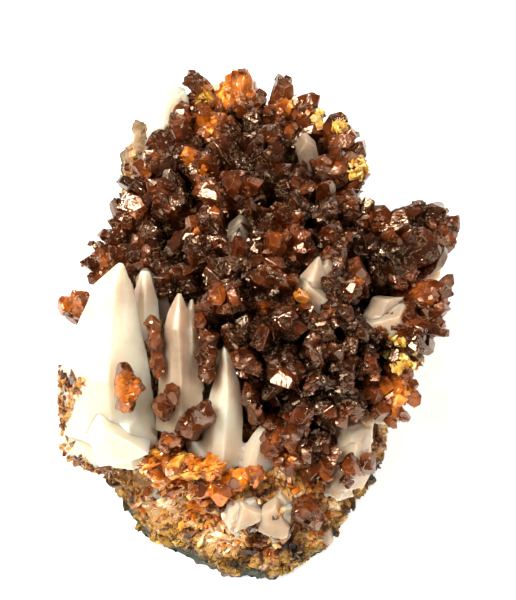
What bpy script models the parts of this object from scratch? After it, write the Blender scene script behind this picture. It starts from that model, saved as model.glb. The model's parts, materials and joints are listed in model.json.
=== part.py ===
"""Orpiment and calcite specimen, lying on the flat back of its matrix.

The plate of dark rock carries pale dog-tooth calcite at its lower left and a large druse of
orpiment over the rest. Places on the specimen's face are given as it is seen from VIEW_TILT above
the table: u across and v up that view, and a height above the table, all in millimetres.
"""
import math
import random

import bmesh
import bpy
from mathutils import Vector

MM = 0.001
VIEW_TILT = math.radians(66.0)
GAP = 0.32            # left between two minerals that touch
ROCK_GAP = 0.5        # left over the rough rock
LONGEST_MITRE = 4.0   # at a sharp corner the gap grows by this factor at most
SEED = 2792

# The matrix: a plate with a flat back, steep sides and a front that leans back.
MATRIX_TOP = 17.5
MATRIX_CROWN = 19.5
FRONT_LEAN = 0.22     # share of its length that the front loses at the top
BACK_LEAN = 0.05
ROCK_ROUGHNESS = 1.1
MATRIX_OUTLINE = (
    (-24, -48), (-15.5, -53), (-7.5, -56.6), (3, -58), (12.5, -52), (19, -42), (24.5, -32), (27, -20),
    (29.5, -8), (30.5, 0), (29, 9), (24, 18), (20.5, 26), (20, 34), (17, 41), (8, 44), (-2, 44.5),
    (-12, 44.5), (-22, 43.5), (-29, 39), (-29, 30), (-29, 20), (-33, 8), (-36, -5), (-37.5, -18),
    (-35, -28), (-30, -36), (-28, -42),
)
# Lumps of crust on the plate, as the boxes of the view that they fill, with a height.
CRUST_LUMPS = (
    (11.2, 16.6, 39.4, 45.6, 22.5), (17.4, 21.6, 30.4, 34.8, 21), (28.6, 33.4, -7.6, -2.6, 22),
    (26.4, 30.6, -6.6, -1.8, 23), (-26.8, -22.8, 34, 43.4, 19),
)
# Height above the table and share of the outline, from the back of the plate to its middle.
MATRIX_LEVELS = (
    (0.0, 0.965), (3.0, 1.0), (7.0, 0.985), (10.0, 0.93), (14.0, 0.945), (MATRIX_TOP, 0.88),
    (18.5, 0.62), (19.0, 0.32),
)

# The druse is a dome of crystals that point away from one place deep in the matrix.
DOME_EDGE = 25.0
DOME_RISE = 18.5
DOME_CENTRE = (3.0, 8.0)
DOME_SPREAD = (24.0, 28.0)
DRUSE_FOCUS = (-1.0, -4.0, 2.0)
LUMP_FOCUS = (0.0, 0.0, 10.0)
HEAD_SPREAD = 1.5
ROOT_LENGTH = 17.0
CLUSTER_ROOT = 9.0
ROOT_SHARE = 0.95
CAP_SHARE = (0.42, 0.68)
CAP_RISE = 0.34
CAP_HIGHEST = 2.2
CAP_TOWARD = 0.3      # how far the cap leans to the viewer, against its way out from the focus
HEAD_SHARE = 0.56     # corner distance as a share of the box, so that the head fills it
FACING = (0.7, 0.8)   # how much of the viewer's side and of the way out the head's face takes
FACE_SCATTER = 0.22
CORNER_SCATTER = 0.12

CROSSWISE = Vector((1.0, 0.0, 0.0))
UPWARD = Vector((0.0, math.sin(VIEW_TILT), math.cos(VIEW_TILT)))
TOWARD = Vector((0.0, -math.cos(VIEW_TILT), math.sin(VIEW_TILT)))

# Corners of a calcite section: share of its width from the left, share of its thickness in front.
CALCITE_RING = ((0.0, 0.0), (0.3, 0.42), (0.55, 0.5), (1.0, 0.05), (0.78, -0.45), (0.22, -0.45))
FLAT_ANGLE = math.radians(0.5)
# Each calcite crystal is a list of sections from its root to its tip:
# v, left and right edge, height of the axis, thickness.
CALCITE_GREAT_SPIRE = {
    "spire": ((-21, -39.8, -20.3, 20, 12), (-8, -40.2, -21.6, 29, 15), (9, -33.2, -25, 41, 6),
              (13.3, -28.2, -26.9, 44.5, 1.2)),
    "shaded_twin": ((-2, -27, -19.5, 28, 8), (6, -26, -20, 32, 6), (12, -24, -21.8, 35, 1.5)),
    "foot": ((-25.5, -33, -19.5, 16, 10), (-21, -32, -20.5, 21, 14), (-16.5, -29.5, -23.5, 25, 9)),
    "shelf": ((-28, -35, -26, 13, 6), (-25, -39.4, -27, 15, 9), (-21.5, -40, -30, 17, 8)),
}
CALCITE_SPIRES = {
    "middle_spire": ((-20, -21, -11, 22, 9), (-10, -20.5, -11.5, 29, 10), (1, -19.2, -13.5, 36, 7),
                     (4, -18.2, -14, 38, 4), (7.3, -16.4, -15.6, 40, 0.8)),
    "middle_twin": ((-12, -17, -11, 27, 7), (0, -15.5, -11.7, 34, 6), (4, -14.8, -12.6, 36, 4),
                    (6.2, -13.8, -13.2, 38, 0.8)),
    "front_spire": ((-27, -12.5, -3.5, 18, 9), (-18, -11.5, -3, 24, 11), (-11, -9.5, -3.6, 30, 9),
                    (-6.5, -8.3, -5, 33.5, 5), (-3, -7.3, -6.7, 36, 0.8)),
    "low_spire": ((-28, -5, 3.2, 17, 8), (-24, -4, 2.8, 20, 8), (-20.5, -1.6, 2.2, 23.5, 5),
                  (-17.8, 1.2, 1.8, 26, 1)),
    "foot_blade": ((-25.5, -14, -8, 19, 5), (-22, -15.3, -11.5, 20.5, 4)),
}
CALCITE_TEETH = {
    "calcite_tooth_upper": (((29, 7.5, 12.5, 26, 6), (35, 7.6, 12.2, 30, 6), (39, 8.9, 9.7, 33, 1)),),
    "calcite_tooth_middle": (((3, 9, 11, 33, 5), (6.5, 9.2, 12.3, 36, 6), (10.8, 7.7, 13.3, 39.5, 6),
                              (14.7, 11.2, 12.2, 42, 1)),),
    "calcite_tooth_left": (((14, -6.2, -3, 34, 5), (19.5, -6.5, -2.2, 38, 5),
                            (22, -4.4, -3.4, 40, 1)),),
    "calcite_block_right": (((-0.5, 21.5, 23.5, 27, 5), (3, 20.3, 27.5, 29.5, 7),
                             (6.7, 22.5, 29, 31, 4)),),
    "calcite_edge_right": (((8.5, 27, 34, 22, 5), (10.5, 29.5, 36.8, 23, 5), (13, 29.5, 37, 24, 4)),),
    "calcite_block_lower": (((-31, 14, 22, 12, 8), (-25, 13.3, 23, 17, 11), (-19, 15, 22.5, 22, 8)),
                            ((-33.5, 12.5, 19, 10, 6), (-29, 12.5, 18, 13, 7)),
                            ((-18.8, 20, 28.5, 21, 5), (-11, 22.5, 25, 25, 4))),
    "calcite_block_front": (((-40, -7, 0, 10.5, 7), (-37, -8, 1, 13.5, 8), (-34, -6.5, 0, 16.5, 5)),
                            ((-42, 0.5, 6, 8.5, 6), (-38, 0, 7, 12.5, 8), (-35, 1.5, 6.5, 16, 6))),
    "calcite_corner": (((36, -23.5, -18, 20, 8), (42, -23.5, -16.5, 24, 10),
                        (46, -21.5, -14.5, 26, 9), (49.6, -18.5, -15, 27.5, 4)),),
}

# Heads of the orpiment crystals, each as the box that it fills in the view:
# left, right, lower and upper edge.
DRUSE_HEADS = (
    # the upper edge, left to right
    (-19, -13, 41, 47), (-12.8, -9, 43.5, 50), (-9, -5.5, 46, 50.6), (-6, -2.5, 46.5, 51.3),
    (-3.4, -1.7, 47, 52), (-8, -3, 41.5, 47), (-3.5, 1.5, 42, 48.5), (2.6, 7.6, 43.5, 48.3),
    (7, 11.8, 43.5, 48.3), (8.8, 12.8, 40, 45), (1, 3.6, 40.5, 44.5),
    # the upper part
    (-12, -7, 38, 43.5), (-3, 1.5, 36, 42), (1, 5, 35.5, 41), (-3.5, 1, 31, 36.5), (0.5, 5, 30, 36),
    (4, 8, 36, 43), (14, 18, 38, 42.4), (15.5, 19.8, 35, 39.5), (10.5, 14.8, 30.5, 35.5),
    (14, 18.3, 31, 36), (17.3, 21.7, 30.5, 34.6), (-7, -3, 35.5, 41), (-8.5, -3.8, 31, 36.5),
    (-22, -18.5, 33, 37.7), (-24.5, -21, 31, 34.3), (-26.3, -22.5, 26, 31), (-16.5, -12, 33.5, 38),
    (-13.5, -9, 30.5, 34), (-12.5, -9, 26.5, 31), (-22, -16, 24.5, 31), (-19.5, -15.5, 22, 26),
    (-18.5, -14, 37, 42), (-20, -15.5, 29.5, 34),
    # the left branch
    (-29.7, -26, 20, 24.2), (-32, -27, 16, 21), (-27, -23.5, 21, 26), (-34.2, -29, 12, 16.5),
    (-33, -28, 9.3, 13), (-25.4, -21.4, 15.5, 20.2), (-29, -24.5, 13, 17.5), (-24.5, -21, 11.5, 15),
    (-20.5, -16.2, 9.8, 13.5), (-16.8, -13.4, 9.6, 13.5), (-22.5, -18.5, 17.5, 22),
    # the middle
    (4, 10, 26, 31.8), (-5.5, 0, 25, 32), (-10, -6, 24, 29), (-10, -7, 19, 24.5),
    (-16, -11.5, 16, 21), (-13.5, -9.3, 18.5, 23.3), (-15.2, -10.8, 13, 17), (-9.8, -5.3, 14.5, 20),
    (-10, -5.5, 10, 15), (-5.5, -1, 10.5, 16.5), (-2.2, 1.2, 12.5, 17), (1, 6, 14.5, 20),
    (2, 6.3, 20, 26), (5.8, 10.3, 20.5, 27), (-2.6, 2.6, 19, 25), (6, 10.8, 14.5, 20.5),
    (-11.2, -6.5, 4, 9.3), (-7, -2.6, 3.2, 8), (0, 6, 7, 13), (6.3, 10, 4.8, 8.4),
    (12.8, 17.2, 15.5, 21), (13, 17, 9.5, 16), (11, 16, 21, 27), (13.8, 18, 4.5, 10),
    (16.6, 22, 6.8, 12.5),
    # the right branch
    (15.5, 20.5, 21.5, 27.3), (19.5, 24.5, 20.5, 25.5), (24, 28.9, 19.3, 24), (28.3, 33, 19, 23),
    (30.8, 34.3, 21.5, 24.4), (33.8, 38, 19.8, 24), (37, 40.6, 19, 23.8), (35, 40, 15.5, 20),
    (18, 24.5, 14, 19.3), (23.5, 30, 14, 19), (29, 36.2, 13.4, 19), (26, 31.7, 9.6, 13.6),
    (22, 27, 9.2, 14),
    (33, 38.4, 5, 10.3), (31, 37.6, 1.4, 7.5), (27, 34, -1.5, 3.6), (31, 35, -3.6, 1.5),
    (25.8, 30.5, -3.5, 0.6), (30.3, 33.4, 5.8, 10.2),
    # the lower part
    (2, 8, -0.8, 5.5), (-2.3, 3, -3.2, 2.2), (-7, -2.4, -3, 1.6), (-4.2, -0.4, -7.8, -4),
    (7.5, 13, -2, 4), (12.5, 17.5, -1.5, 5), (16.5, 21, -2.6, 2.6), (20.8, 26, -4.8, -0.2),
    (3.3, 8.5, -12, -6.8), (8, 13.8, -12.2, -6.4), (2.5, 8, -7, -2.2), (7.8, 14, -6.6, -1.5),
    (13.5, 19, -10, -5.4), (18.3, 24.4, -9.5, -5), (25.5, 30.8, -11.3, -5.2), (13, 19, -6.5, -2),
    (19.5, 25.5, -15, -9.5), (26, 31.3, -14.4, -9.6), (24, 29.3, -18.6, -13.5),
    (9.5, 15, -17.6, -12), (14.5, 20, -17, -11.6), (5, 10, -16, -11),
    (5.7, 10.2, -20.3, -15.2), (2.8, 7.4, -22.6, -18), (1.2, 5.4, -25.4, -20.4),
    (6.2, 10.8, -25, -19.8), (3.8, 9, -28, -23.2), (9.6, 14.2, -24.5, -19), (10, 15.6, -29.4, -24),
    (0.9, 6.2, -34, -29.6), (5.6, 12.2, -34.3, -29),
)
# Below this v the druse comes down to the front edge, by this much for each mm.
FLANK_START = -17.0
FLANK_DROP = 0.7
# Wide crystals deep in the druse, which close its crevices below this depth.
DRUSE_BED = ((-15, 14, 18, 43), (-29, -9, 11, 31), (-8, 20, -4, 24), (10, 34, 11, 23),
             (0, 27, -17, 2), (20, 33, -3, 9))
BED_DEPTH = 7.0

# Clusters that sit by themselves: where their crystals point away from, and the heads with a height.
ORPIMENT_CLUSTERS = {
    "orpiment_shoulder": ((-31, 0, 26), ((-40.2, -36.6, 2.4, 7, 34), (-38, -34, 3.4, 8.6, 36))),
    "orpiment_stack": ((-26, -12, 24), ((-28.6, -24.2, -16.6, -12, 35), (-29.2, -24.8, -13, -8.8, 37),
                                        (-28.4, -25.2, -10, -6.3, 39), (-26.4, -22.7, -13, -9.3, 36))),
    "orpiment_twin": ((-17, -18, 20), ((-21.6, -17.6, -17.6, -12.8, 31), (-19.4, -15.5, -14.6, -9.9, 33))),
    "orpiment_pair": ((-12, -20, 18), ((-17, -12, -21.6, -17, 30), (-13.4, -8.6, -19, -13.4, 33),
                                       (-15.4, -11, -19.6, -15, 31))),
    "orpiment_beads": ((-20.4, -5, 21), ((-23, -19.8, -0.6, 3.2, 38), (-22.4, -18.9, -4.4, 0.4, 37),
                                       (-21.8, -18.9, -9.6, -3.9, 35))),
    "orpiment_pendant": ((-11, -2, 20), ((-13.2, -10.6, -0.6, 4.3, 39), (-12.2, -8, -3.6, 0.4, 38),
                                         (-12.7, -8.3, -7.6, -2.8, 37), (-12.2, -8.8, -11, -6.4, 35))),
    "orpiment_drops": ((-2, -14, 16), ((-4, 0.1, -15.4, -10.4, 32), (-2.7, 1.2, -19, -14.6, 29))),
    "orpiment_cuff": ((-18, -22, 12), ((-20.6, -16.8, -24.6, -20.2, 28), (-18, -14.8, -23.6, -19.8, 27))),
    "orpiment_ledge": ((-8, -25, 3), ((-23.4, -19, -30, -24, 22), (-20.2, -15, -29.4, -24.6, 23),
                                      (-16.2, -11, -29.8, -25, 22), (-12, -7, -30.4, -24.6, 22),
                                      (-14.4, -9.4, -34, -28.6, 18), (-10.2, -5, -35, -29, 18),
                                      (-6.6, -2.2, -32.4, -27.4, 20), (-3, 1.6, -31.4, -26.6, 21))),
    "orpiment_lower_right": ((18, -24, 4), ((15.9, 20.2, -30.2, -24.4, 22), (19.6, 23.3, -29.4, -24, 20),
                                            (15.8, 18.8, -31.8, -28.6, 18))),
    "orpiment_front": ((8, -32, 2), ((6, 10.6, -38.4, -33.8, 17.5), (9, 13.2, -40.2, -35, 15.5))),
}

FINISHES = {
    "matrix": ((0.16, 0.15, 0.09), 0.85),
    "calcite": ((0.80, 0.71, 0.60), 0.35),
    "orpiment": ((0.24, 0.035, 0.012), 0.20),
}


def seat(u, v, height):
    """The point in metres seen at u and v that is the given height above the table."""
    depth = (height - v * UPWARD.z) / TOWARD.z
    return (CROSSWISE * u + UPWARD * v + TOWARD * depth) * MM


def dome_height(u, v):
    """Height of the druse at a place in the view."""
    across = (u - DOME_CENTRE[0]) / DOME_SPREAD[0]
    along = (v - DOME_CENTRE[1]) / DOME_SPREAD[1]
    height = DOME_EDGE + DOME_RISE * math.exp(-across ** 2 - along ** 2)
    return height - FLANK_DROP * max(0.0, FLANK_START - v)


def loft(rings):
    """A closed solid through rings of points that all have the same count."""
    solid = bmesh.new()
    layers = [[solid.verts.new(point) for point in ring] for ring in rings]
    count = len(layers[0])
    for lower, upper in zip(layers, layers[1:]):
        for i in range(count):
            j = (i + 1) % count
            solid.faces.new((lower[i], lower[j], upper[j], upper[i]))
    solid.faces.new(reversed(layers[0]))
    solid.faces.new(layers[-1])
    bmesh.ops.recalc_face_normals(solid, faces=solid.faces)
    return solid


def stub(box, height, focus, root_length, rng):
    """A stubby crystal or lump: its head fills the box in the view, its root points to the focus."""
    left, right, low, high = box
    centre = seat((left + right) / 2, (low + high) / 2, height)
    inward = (seat(*focus) - centre).normalized()
    facing = (TOWARD * FACING[0] - inward * FACING[1]).normalized()
    facing += Vector([rng.uniform(-FACE_SCATTER, FACE_SCATTER) for _ in range(3)])
    slope_u = facing.dot(CROSSWISE) / facing.dot(TOWARD)
    slope_v = facing.dot(UPWARD) / facing.dot(TOWARD)
    sides = rng.choice((4, 4, 5))
    turn = rng.uniform(0, math.tau)
    corners = []
    for i in range(sides):
        angle = turn + math.tau * (i + rng.uniform(-CORNER_SCATTER, CORNER_SCATTER)) / sides
        across = math.cos(angle) * (right - left) * HEAD_SHARE * MM
        along = math.sin(angle) * (high - low) * HEAD_SHARE * MM
        corners.append(CROSSWISE * across + UPWARD * along
                       - TOWARD * (slope_u * across + slope_v * along))
    size = min(right - left, high - low) * MM
    root = centre + inward * root_length * MM
    cap = centre + (TOWARD * CAP_TOWARD - inward) * min(size * CAP_RISE, CAP_HIGHEST * MM)
    share = rng.uniform(*CAP_SHARE)
    return loft([[root + corner * ROOT_SHARE for corner in corners],
                 [centre + corner for corner in corners],
                 [cap + corner * share for corner in corners]])


def calcite_crystal(sections):
    """A dog-tooth crystal: the convex form around its sections, with a ridge down its face."""
    first, last = sections[0], sections[-1]
    root = seat((first[1] + first[2]) / 2, first[0], first[3])
    tip = seat((last[1] + last[2]) / 2, last[0], last[3])
    axis = (tip - root).normalized()
    front = (TOWARD - axis * TOWARD.dot(axis)).normalized()
    solid = bmesh.new()
    for v, left, right, height, thickness in sections:
        width = right - left
        for share, rise in CALCITE_RING:
            solid.verts.new(seat(left + width * share, v, height) + front * thickness * rise * MM)
    made = bmesh.ops.convex_hull(solid, input=solid.verts)
    spare = [item for item in made["geom_interior"] if isinstance(item, bmesh.types.BMVert)]
    bmesh.ops.delete(solid, geom=spare, context="VERTS")
    bmesh.ops.dissolve_limit(solid, angle_limit=FLAT_ANGLE, verts=solid.verts, edges=solid.edges)
    bmesh.ops.recalc_face_normals(solid, faces=solid.faces)
    return solid


def matrix_plate(rng):
    """The rock: its outline stepped in from level to level, with a rough broken side."""
    rings = []
    corners = []
    for here, after in zip(MATRIX_OUTLINE, MATRIX_OUTLINE[1:] + MATRIX_OUTLINE[:1]):
        corners.append(Vector(here))
        corners.append((Vector(here) + Vector(after)) / 2)
    for height, share in MATRIX_LEVELS:
        ring = []
        for corner in corners:
            lean = FRONT_LEAN if corner.y < 0 else BACK_LEAN
            x = corner.x * share
            y = corner.y * share * (1 - lean * height / MATRIX_TOP)
            rough = ROCK_ROUGHNESS if 0 < height <= MATRIX_TOP else 0.0
            x += rng.uniform(-rough, rough)
            y += rng.uniform(-rough, rough)
            z = height + rng.uniform(-rough, rough) / 2
            ring.append(Vector((x, y, z)) * MM)
        rings.append(ring)
    solid = loft(rings)
    top = max(solid.faces, key=lambda face: face.calc_center_median().z)
    middle = bmesh.ops.poke(solid, faces=[top])["verts"][0]
    middle.co.z = MATRIX_CROWN * MM
    bmesh.ops.triangulate(solid, faces=[face for face in solid.faces if len(face.verts) == 4])
    return solid


def spread(plate, lift):
    """A copy of the plate that is wider by the gap all round and lies higher by the lift."""
    copy = plate.copy()
    half_width, half_length = (max(abs(point[i]) for point in MATRIX_OUTLINE) for i in range(2))
    for vert in copy.verts:
        vert.co.x *= 1 + ROCK_GAP / half_width
        vert.co.y *= 1 + ROCK_GAP / half_length
        vert.co.z += lift * MM
    return copy


def grown(solid):
    """A copy of the solid with every face moved out by the gap."""
    copy = solid.copy()
    copy.normal_update()
    moved = [vert.co + vert.normal * GAP * MM * min(vert.calc_shell_factor(), LONGEST_MITRE)
             for vert in copy.verts]
    for vert, place in zip(copy.verts, moved):
        vert.co = place
    return copy


def extent(solid):
    """The corners of the box around a solid."""
    points = [vert.co for vert in solid.verts]
    return [(min(p[i] for p in points), max(p[i] for p in points)) for i in range(3)]


def near(one, other):
    """Whether two boxes meet."""
    return all(a[0] <= b[1] and b[0] <= a[1] for a, b in zip(one, other))


def mesh_object(name, solid):
    """An object with the solid as its mesh."""
    mesh = bpy.data.meshes.new(name)
    solid.to_mesh(mesh)
    obj = bpy.data.objects.new(name, mesh)
    bpy.context.scene.collection.objects.link(obj)
    return obj


def fused(name, solids):
    """One object with the solids joined into a single body."""
    obj = mesh_object(name, solids[0])
    for solid in solids[1:]:
        boolean(obj, "UNION", mesh_object(name + "_more", solid))
    return obj


def boolean(obj, operation, tool):
    """Apply one Boolean to the object and remove its tool."""
    tool.hide_render = True
    tool.display_type = "WIRE"
    step = obj.modifiers.new(operation.lower(), "BOOLEAN")
    step.operation = operation
    step.object = tool
    step.solver = "MANIFOLD"   # EXACT leaves open edges where several crystals cross
    evaluated = obj.evaluated_get(bpy.context.evaluated_depsgraph_get())
    mesh = bpy.data.meshes.new_from_object(evaluated)
    obj.modifiers.clear()
    obj.data = mesh
    bpy.data.objects.remove(tool)


def keep_largest(obj):
    """Drop chips that a cut has parted from the crystal group."""
    solid = bmesh.new()
    solid.from_mesh(obj.data)
    left = set(solid.verts)
    groups = []
    while left:
        group = {left.pop()}
        to_visit = list(group)
        while to_visit:
            vert = to_visit.pop()
            for edge in vert.link_edges:
                other = edge.other_vert(vert)
                if other in left:
                    left.remove(other)
                    group.add(other)
                    to_visit.append(other)
        groups.append(group)
    groups.sort(key=len)
    chips = [vert for group in groups[:-1] for vert in group]
    bmesh.ops.delete(solid, geom=chips, context="VERTS")
    solid.to_mesh(obj.data)
    solid.free()


def finish(obj, mineral):
    """Give the object its own material."""
    colour, roughness = FINISHES[mineral]
    material = bpy.data.materials.new(obj.name + "_finish")
    material.use_nodes = True
    shader = material.node_tree.nodes["Principled BSDF"]
    shader.inputs["Base Color"].default_value = (*colour, 1.0)
    shader.inputs["Roughness"].default_value = roughness
    shader.inputs["Metallic"].default_value = 0.0
    obj.data.materials.clear()
    obj.data.materials.append(material)


def grow_piece(name, mineral, solids, neighbours):
    """Fuse the solids into one node, cut clear of the neighbours, and add them to those."""
    obj = fused(name, solids)
    boxes = [extent(solid) for solid in solids]
    touching = [solid for solid in neighbours if any(near(extent(solid), box) for box in boxes)]
    if touching:
        boolean(obj, "DIFFERENCE", fused(name + "_clearance", touching))
    keep_largest(obj)
    finish(obj, mineral)
    neighbours.extend(grown(solid) for solid in solids)
    return obj


def main():
    for obj in list(bpy.data.objects):
        bpy.data.objects.remove(obj)
    rng = random.Random(SEED)
    plate = matrix_plate(rng)
    lumps = [stub(lump[:4], lump[4], LUMP_FOCUS, CLUSTER_ROOT, rng) for lump in CRUST_LUMPS]
    neighbours = [spread(plate, lift) for lift in (ROCK_GAP, 0.0, -ROCK_GAP)]
    neighbours += [grown(lump) for lump in lumps]
    grow_piece("matrix", "matrix", [plate] + lumps, [])
    for name, crystals in (("calcite_great_spire", CALCITE_GREAT_SPIRE),
                           ("calcite_spires", CALCITE_SPIRES)):
        spires = [calcite_crystal(sections) for sections in crystals.values()]
        grow_piece(name, "calcite", spires, neighbours)
    for name, crystals in CALCITE_TEETH.items():
        grow_piece(name, "calcite", [calcite_crystal(sections) for sections in crystals], neighbours)
    druse = []
    for boxes, depth in ((DRUSE_BED, BED_DEPTH), (DRUSE_HEADS, 0.0)):
        for box in boxes:
            height = dome_height((box[0] + box[1]) / 2, (box[2] + box[3]) / 2) - depth
            height += rng.uniform(-HEAD_SPREAD, HEAD_SPREAD)
            druse.append(stub(box, height, DRUSE_FOCUS, ROOT_LENGTH, rng))
    grow_piece("orpiment_mass", "orpiment", druse, neighbours)
    for name, (focus, heads) in ORPIMENT_CLUSTERS.items():
        crystals = [stub(head[:4], head[4], focus, CLUSTER_ROOT, rng) for head in heads]
        grow_piece(name, "orpiment", crystals, neighbours)


main()
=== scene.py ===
"""Looks of the orpiment and calcite specimen: rock, crust, calcite and orpiment on the frame."""
import json
import math

import bmesh
import bpy
import numpy as np
from bpy.props import FloatProperty, FloatVectorProperty, IntProperty, PointerProperty
from mathutils import Matrix, Vector, kdtree, noise
from mathutils.bvhtree import BVHTree

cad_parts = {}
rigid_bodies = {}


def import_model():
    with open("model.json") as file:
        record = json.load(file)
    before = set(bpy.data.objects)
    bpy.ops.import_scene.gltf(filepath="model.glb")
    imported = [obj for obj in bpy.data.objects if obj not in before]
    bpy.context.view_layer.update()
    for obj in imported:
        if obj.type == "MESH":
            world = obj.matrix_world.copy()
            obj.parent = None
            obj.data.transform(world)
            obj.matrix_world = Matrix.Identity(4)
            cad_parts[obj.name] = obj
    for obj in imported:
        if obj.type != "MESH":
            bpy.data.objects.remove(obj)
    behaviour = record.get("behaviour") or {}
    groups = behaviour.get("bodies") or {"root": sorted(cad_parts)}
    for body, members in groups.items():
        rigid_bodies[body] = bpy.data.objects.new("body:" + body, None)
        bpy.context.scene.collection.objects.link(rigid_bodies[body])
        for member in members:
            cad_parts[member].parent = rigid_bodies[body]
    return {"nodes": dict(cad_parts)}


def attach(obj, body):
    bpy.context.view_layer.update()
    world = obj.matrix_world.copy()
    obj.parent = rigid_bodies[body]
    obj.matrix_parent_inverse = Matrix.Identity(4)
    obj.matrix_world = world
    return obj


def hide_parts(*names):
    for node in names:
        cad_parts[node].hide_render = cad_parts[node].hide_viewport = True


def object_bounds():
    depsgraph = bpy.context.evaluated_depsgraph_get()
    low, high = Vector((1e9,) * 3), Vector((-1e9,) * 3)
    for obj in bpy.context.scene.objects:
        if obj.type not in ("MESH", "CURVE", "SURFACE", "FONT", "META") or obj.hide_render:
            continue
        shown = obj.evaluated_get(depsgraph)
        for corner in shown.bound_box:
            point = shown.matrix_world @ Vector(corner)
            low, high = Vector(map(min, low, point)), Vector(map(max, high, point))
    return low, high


bl_info = {
    "name": "Orpiment and calcite specimen",
    "version": (1, 0, 0),
    "blender": (4, 5, 0),
    "location": "3D View > Sidebar > Specimen",
    "description": "Builds the rock, crust, calcite and orpiment of a mineral specimen",
    "category": "Object",
}

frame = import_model()
CAD_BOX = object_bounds()
MM = 0.001

# Places are given as on the frame: u across and v up the view from this height, in millimetres.
VIEW_TILT = math.radians(66.0)
CROSSWISE = Vector((1.0, 0.0, 0.0))
UPWARD = Vector((0.0, math.sin(VIEW_TILT), math.cos(VIEW_TILT)))
TOWARD = Vector((0.0, -math.cos(VIEW_TILT), math.sin(VIEW_TILT)))

NODES = frame["nodes"]
CALCITE_NODES = sorted(name for name in NODES if name.startswith("calcite"))
CLUSTER_NODES = sorted(name for name in NODES
                       if name.startswith("orpiment") and name != "orpiment_mass")

# Radius, depth and top of the repeated crystals, as shares of their width.
FORM_RADIUS = 0.62
FORM_DEPTH = 1.1
FORM_TOP = 0.45
# The crystals that the growths repeat, in one collection each: name, sides, stretch across and
# along, the places and normals of the planes that cut it, and the width of its bevel.
FORMS = {
    "large_crystals": (
        ("wedge", 8, (1.05, 0.80), (
            ((0, 0, 0.44), (0.10, 0.85, 1)), ((0, 0, 0.44), (-0.12, -0.70, 1)),
            ((0.48, 0, 0.24), (1, 0.1, 0.5)), ((-0.5, 0, 0.16), (-1, 0.25, 0.45))), 0.030),
        ("blunt", 7, (0.95, 0.85), (
            ((0, 0, 0.40), (0.22, 0.12, 1)), ((0.34, 0, 0.30), (0.9, -0.2, 0.8)),
            ((-0.2, 0.34, 0.28), (-0.3, 1, 0.8)), ((-0.3, -0.3, 0.22), (-0.8, -0.8, 0.7))), 0.030),
        ("point", 6, (0.85, 0.75), (
            ((0, 0, 0.45), (0.9, 0.2, 0.8)), ((0, 0, 0.45), (-0.7, 0.6, 0.8)),
            ((0, 0, 0.45), (-0.2, -0.9, 0.8))), 0.028),
        ("tablet", 8, (1.25, 0.55), (
            ((0, 0, 0.42), (-0.25, 0.1, 1)), ((0.45, 0, 0.26), (1, 0, 0.6)),
            ((0, 0.22, 0.34), (0, 1, 0.9)), ((-0.5, 0, 0.30), (-1, -0.2, 0.9))), 0.026),
        ("step", 6, (1.1, 0.95), (
            ((0, 0, 0.43), (0.35, -0.25, 1)), ((0.1, 0.1, 0.34), (-0.6, 0.9, 0.9)),
            ((-0.3, -0.2, 0.30), (-1, -0.6, 0.6))), 0.030)),
    "small_crystals": (
        ("slab", 4, (1.0, 1.0), (
            ((0, 0, 0.40), (0.14, 0.06, 1)), ((0.30, 0, 0.26), (1, 0.1, 0.9)),
            ((0, 0.30, 0.30), (-0.2, 1, 1.1))), 0.0),
        ("brick", 4, (1.4, 0.75), (
            ((0, 0, 0.34), (-0.1, 0.2, 1)), ((0.45, 0, 0.20), (1, 0.3, 0.6)),
            ((-0.4, 0, 0.24), (-1, 0.2, 0.8))), 0.0),
        ("head", 6, (1.0, 0.85), (
            ((0, 0, 0.38), (-0.18, -0.1, 1)), ((0.2, 0.2, 0.30), (0.8, 0.8, 0.9)),
            ((-0.2, -0.15, 0.28), (-0.9, -0.5, 1))), 0.0),
        ("roof", 5, (1.2, 0.9), (
            ((0, 0, 0.40), (0.1, 0.75, 1)), ((0, 0, 0.40), (-0.1, -0.9, 1))), 0.0)),
    "crumbs": (
        ("flake", 5, (1.4, 0.55), (
            ((0, 0, 0.30), (0.45, 0.1, 1)), ((0.5, 0, 0.1), (1, 0.3, 0.6))), 0.0),
        ("chip", 4, (1.2, 0.8), (
            ((0, 0, 0.25), (-0.3, 0.3, 1)), ((0, 0.3, 0.2), (-0.2, 1, 0.7))), 0.0),
        ("splinter", 4, (1.6, 0.40), (((0, 0, 0.36), (0.25, 0, 1)),), 0.0)),
}
# The chart of the druse's front surface: cells of 1 mm along each side, and its window.
CHART_SIZE = 140
CHART_REACH = 5
# Near the outline the front counts as this much lower, so that the rim isn't taken for a gap.
RIM_DROP = 12.0

# Parts of the druse, as the stretch of the view that each one covers: u from, to, v from, to.
DRUSE_PARTS = {
    "druse_upper_left": (-60, 0, 29, 80),
    "druse_upper_right": (0, 60, 27, 80),
    "druse_left": (-60, -9, 5, 29),
    "druse_middle": (-9, 14, 2, 29),
    "druse_right_branch": (14, 60, 8, 27),
    "druse_right_fingers": (14, 60, -5, 8),
    "druse_lower": (-60, 60, -80, 2),
}
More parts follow.
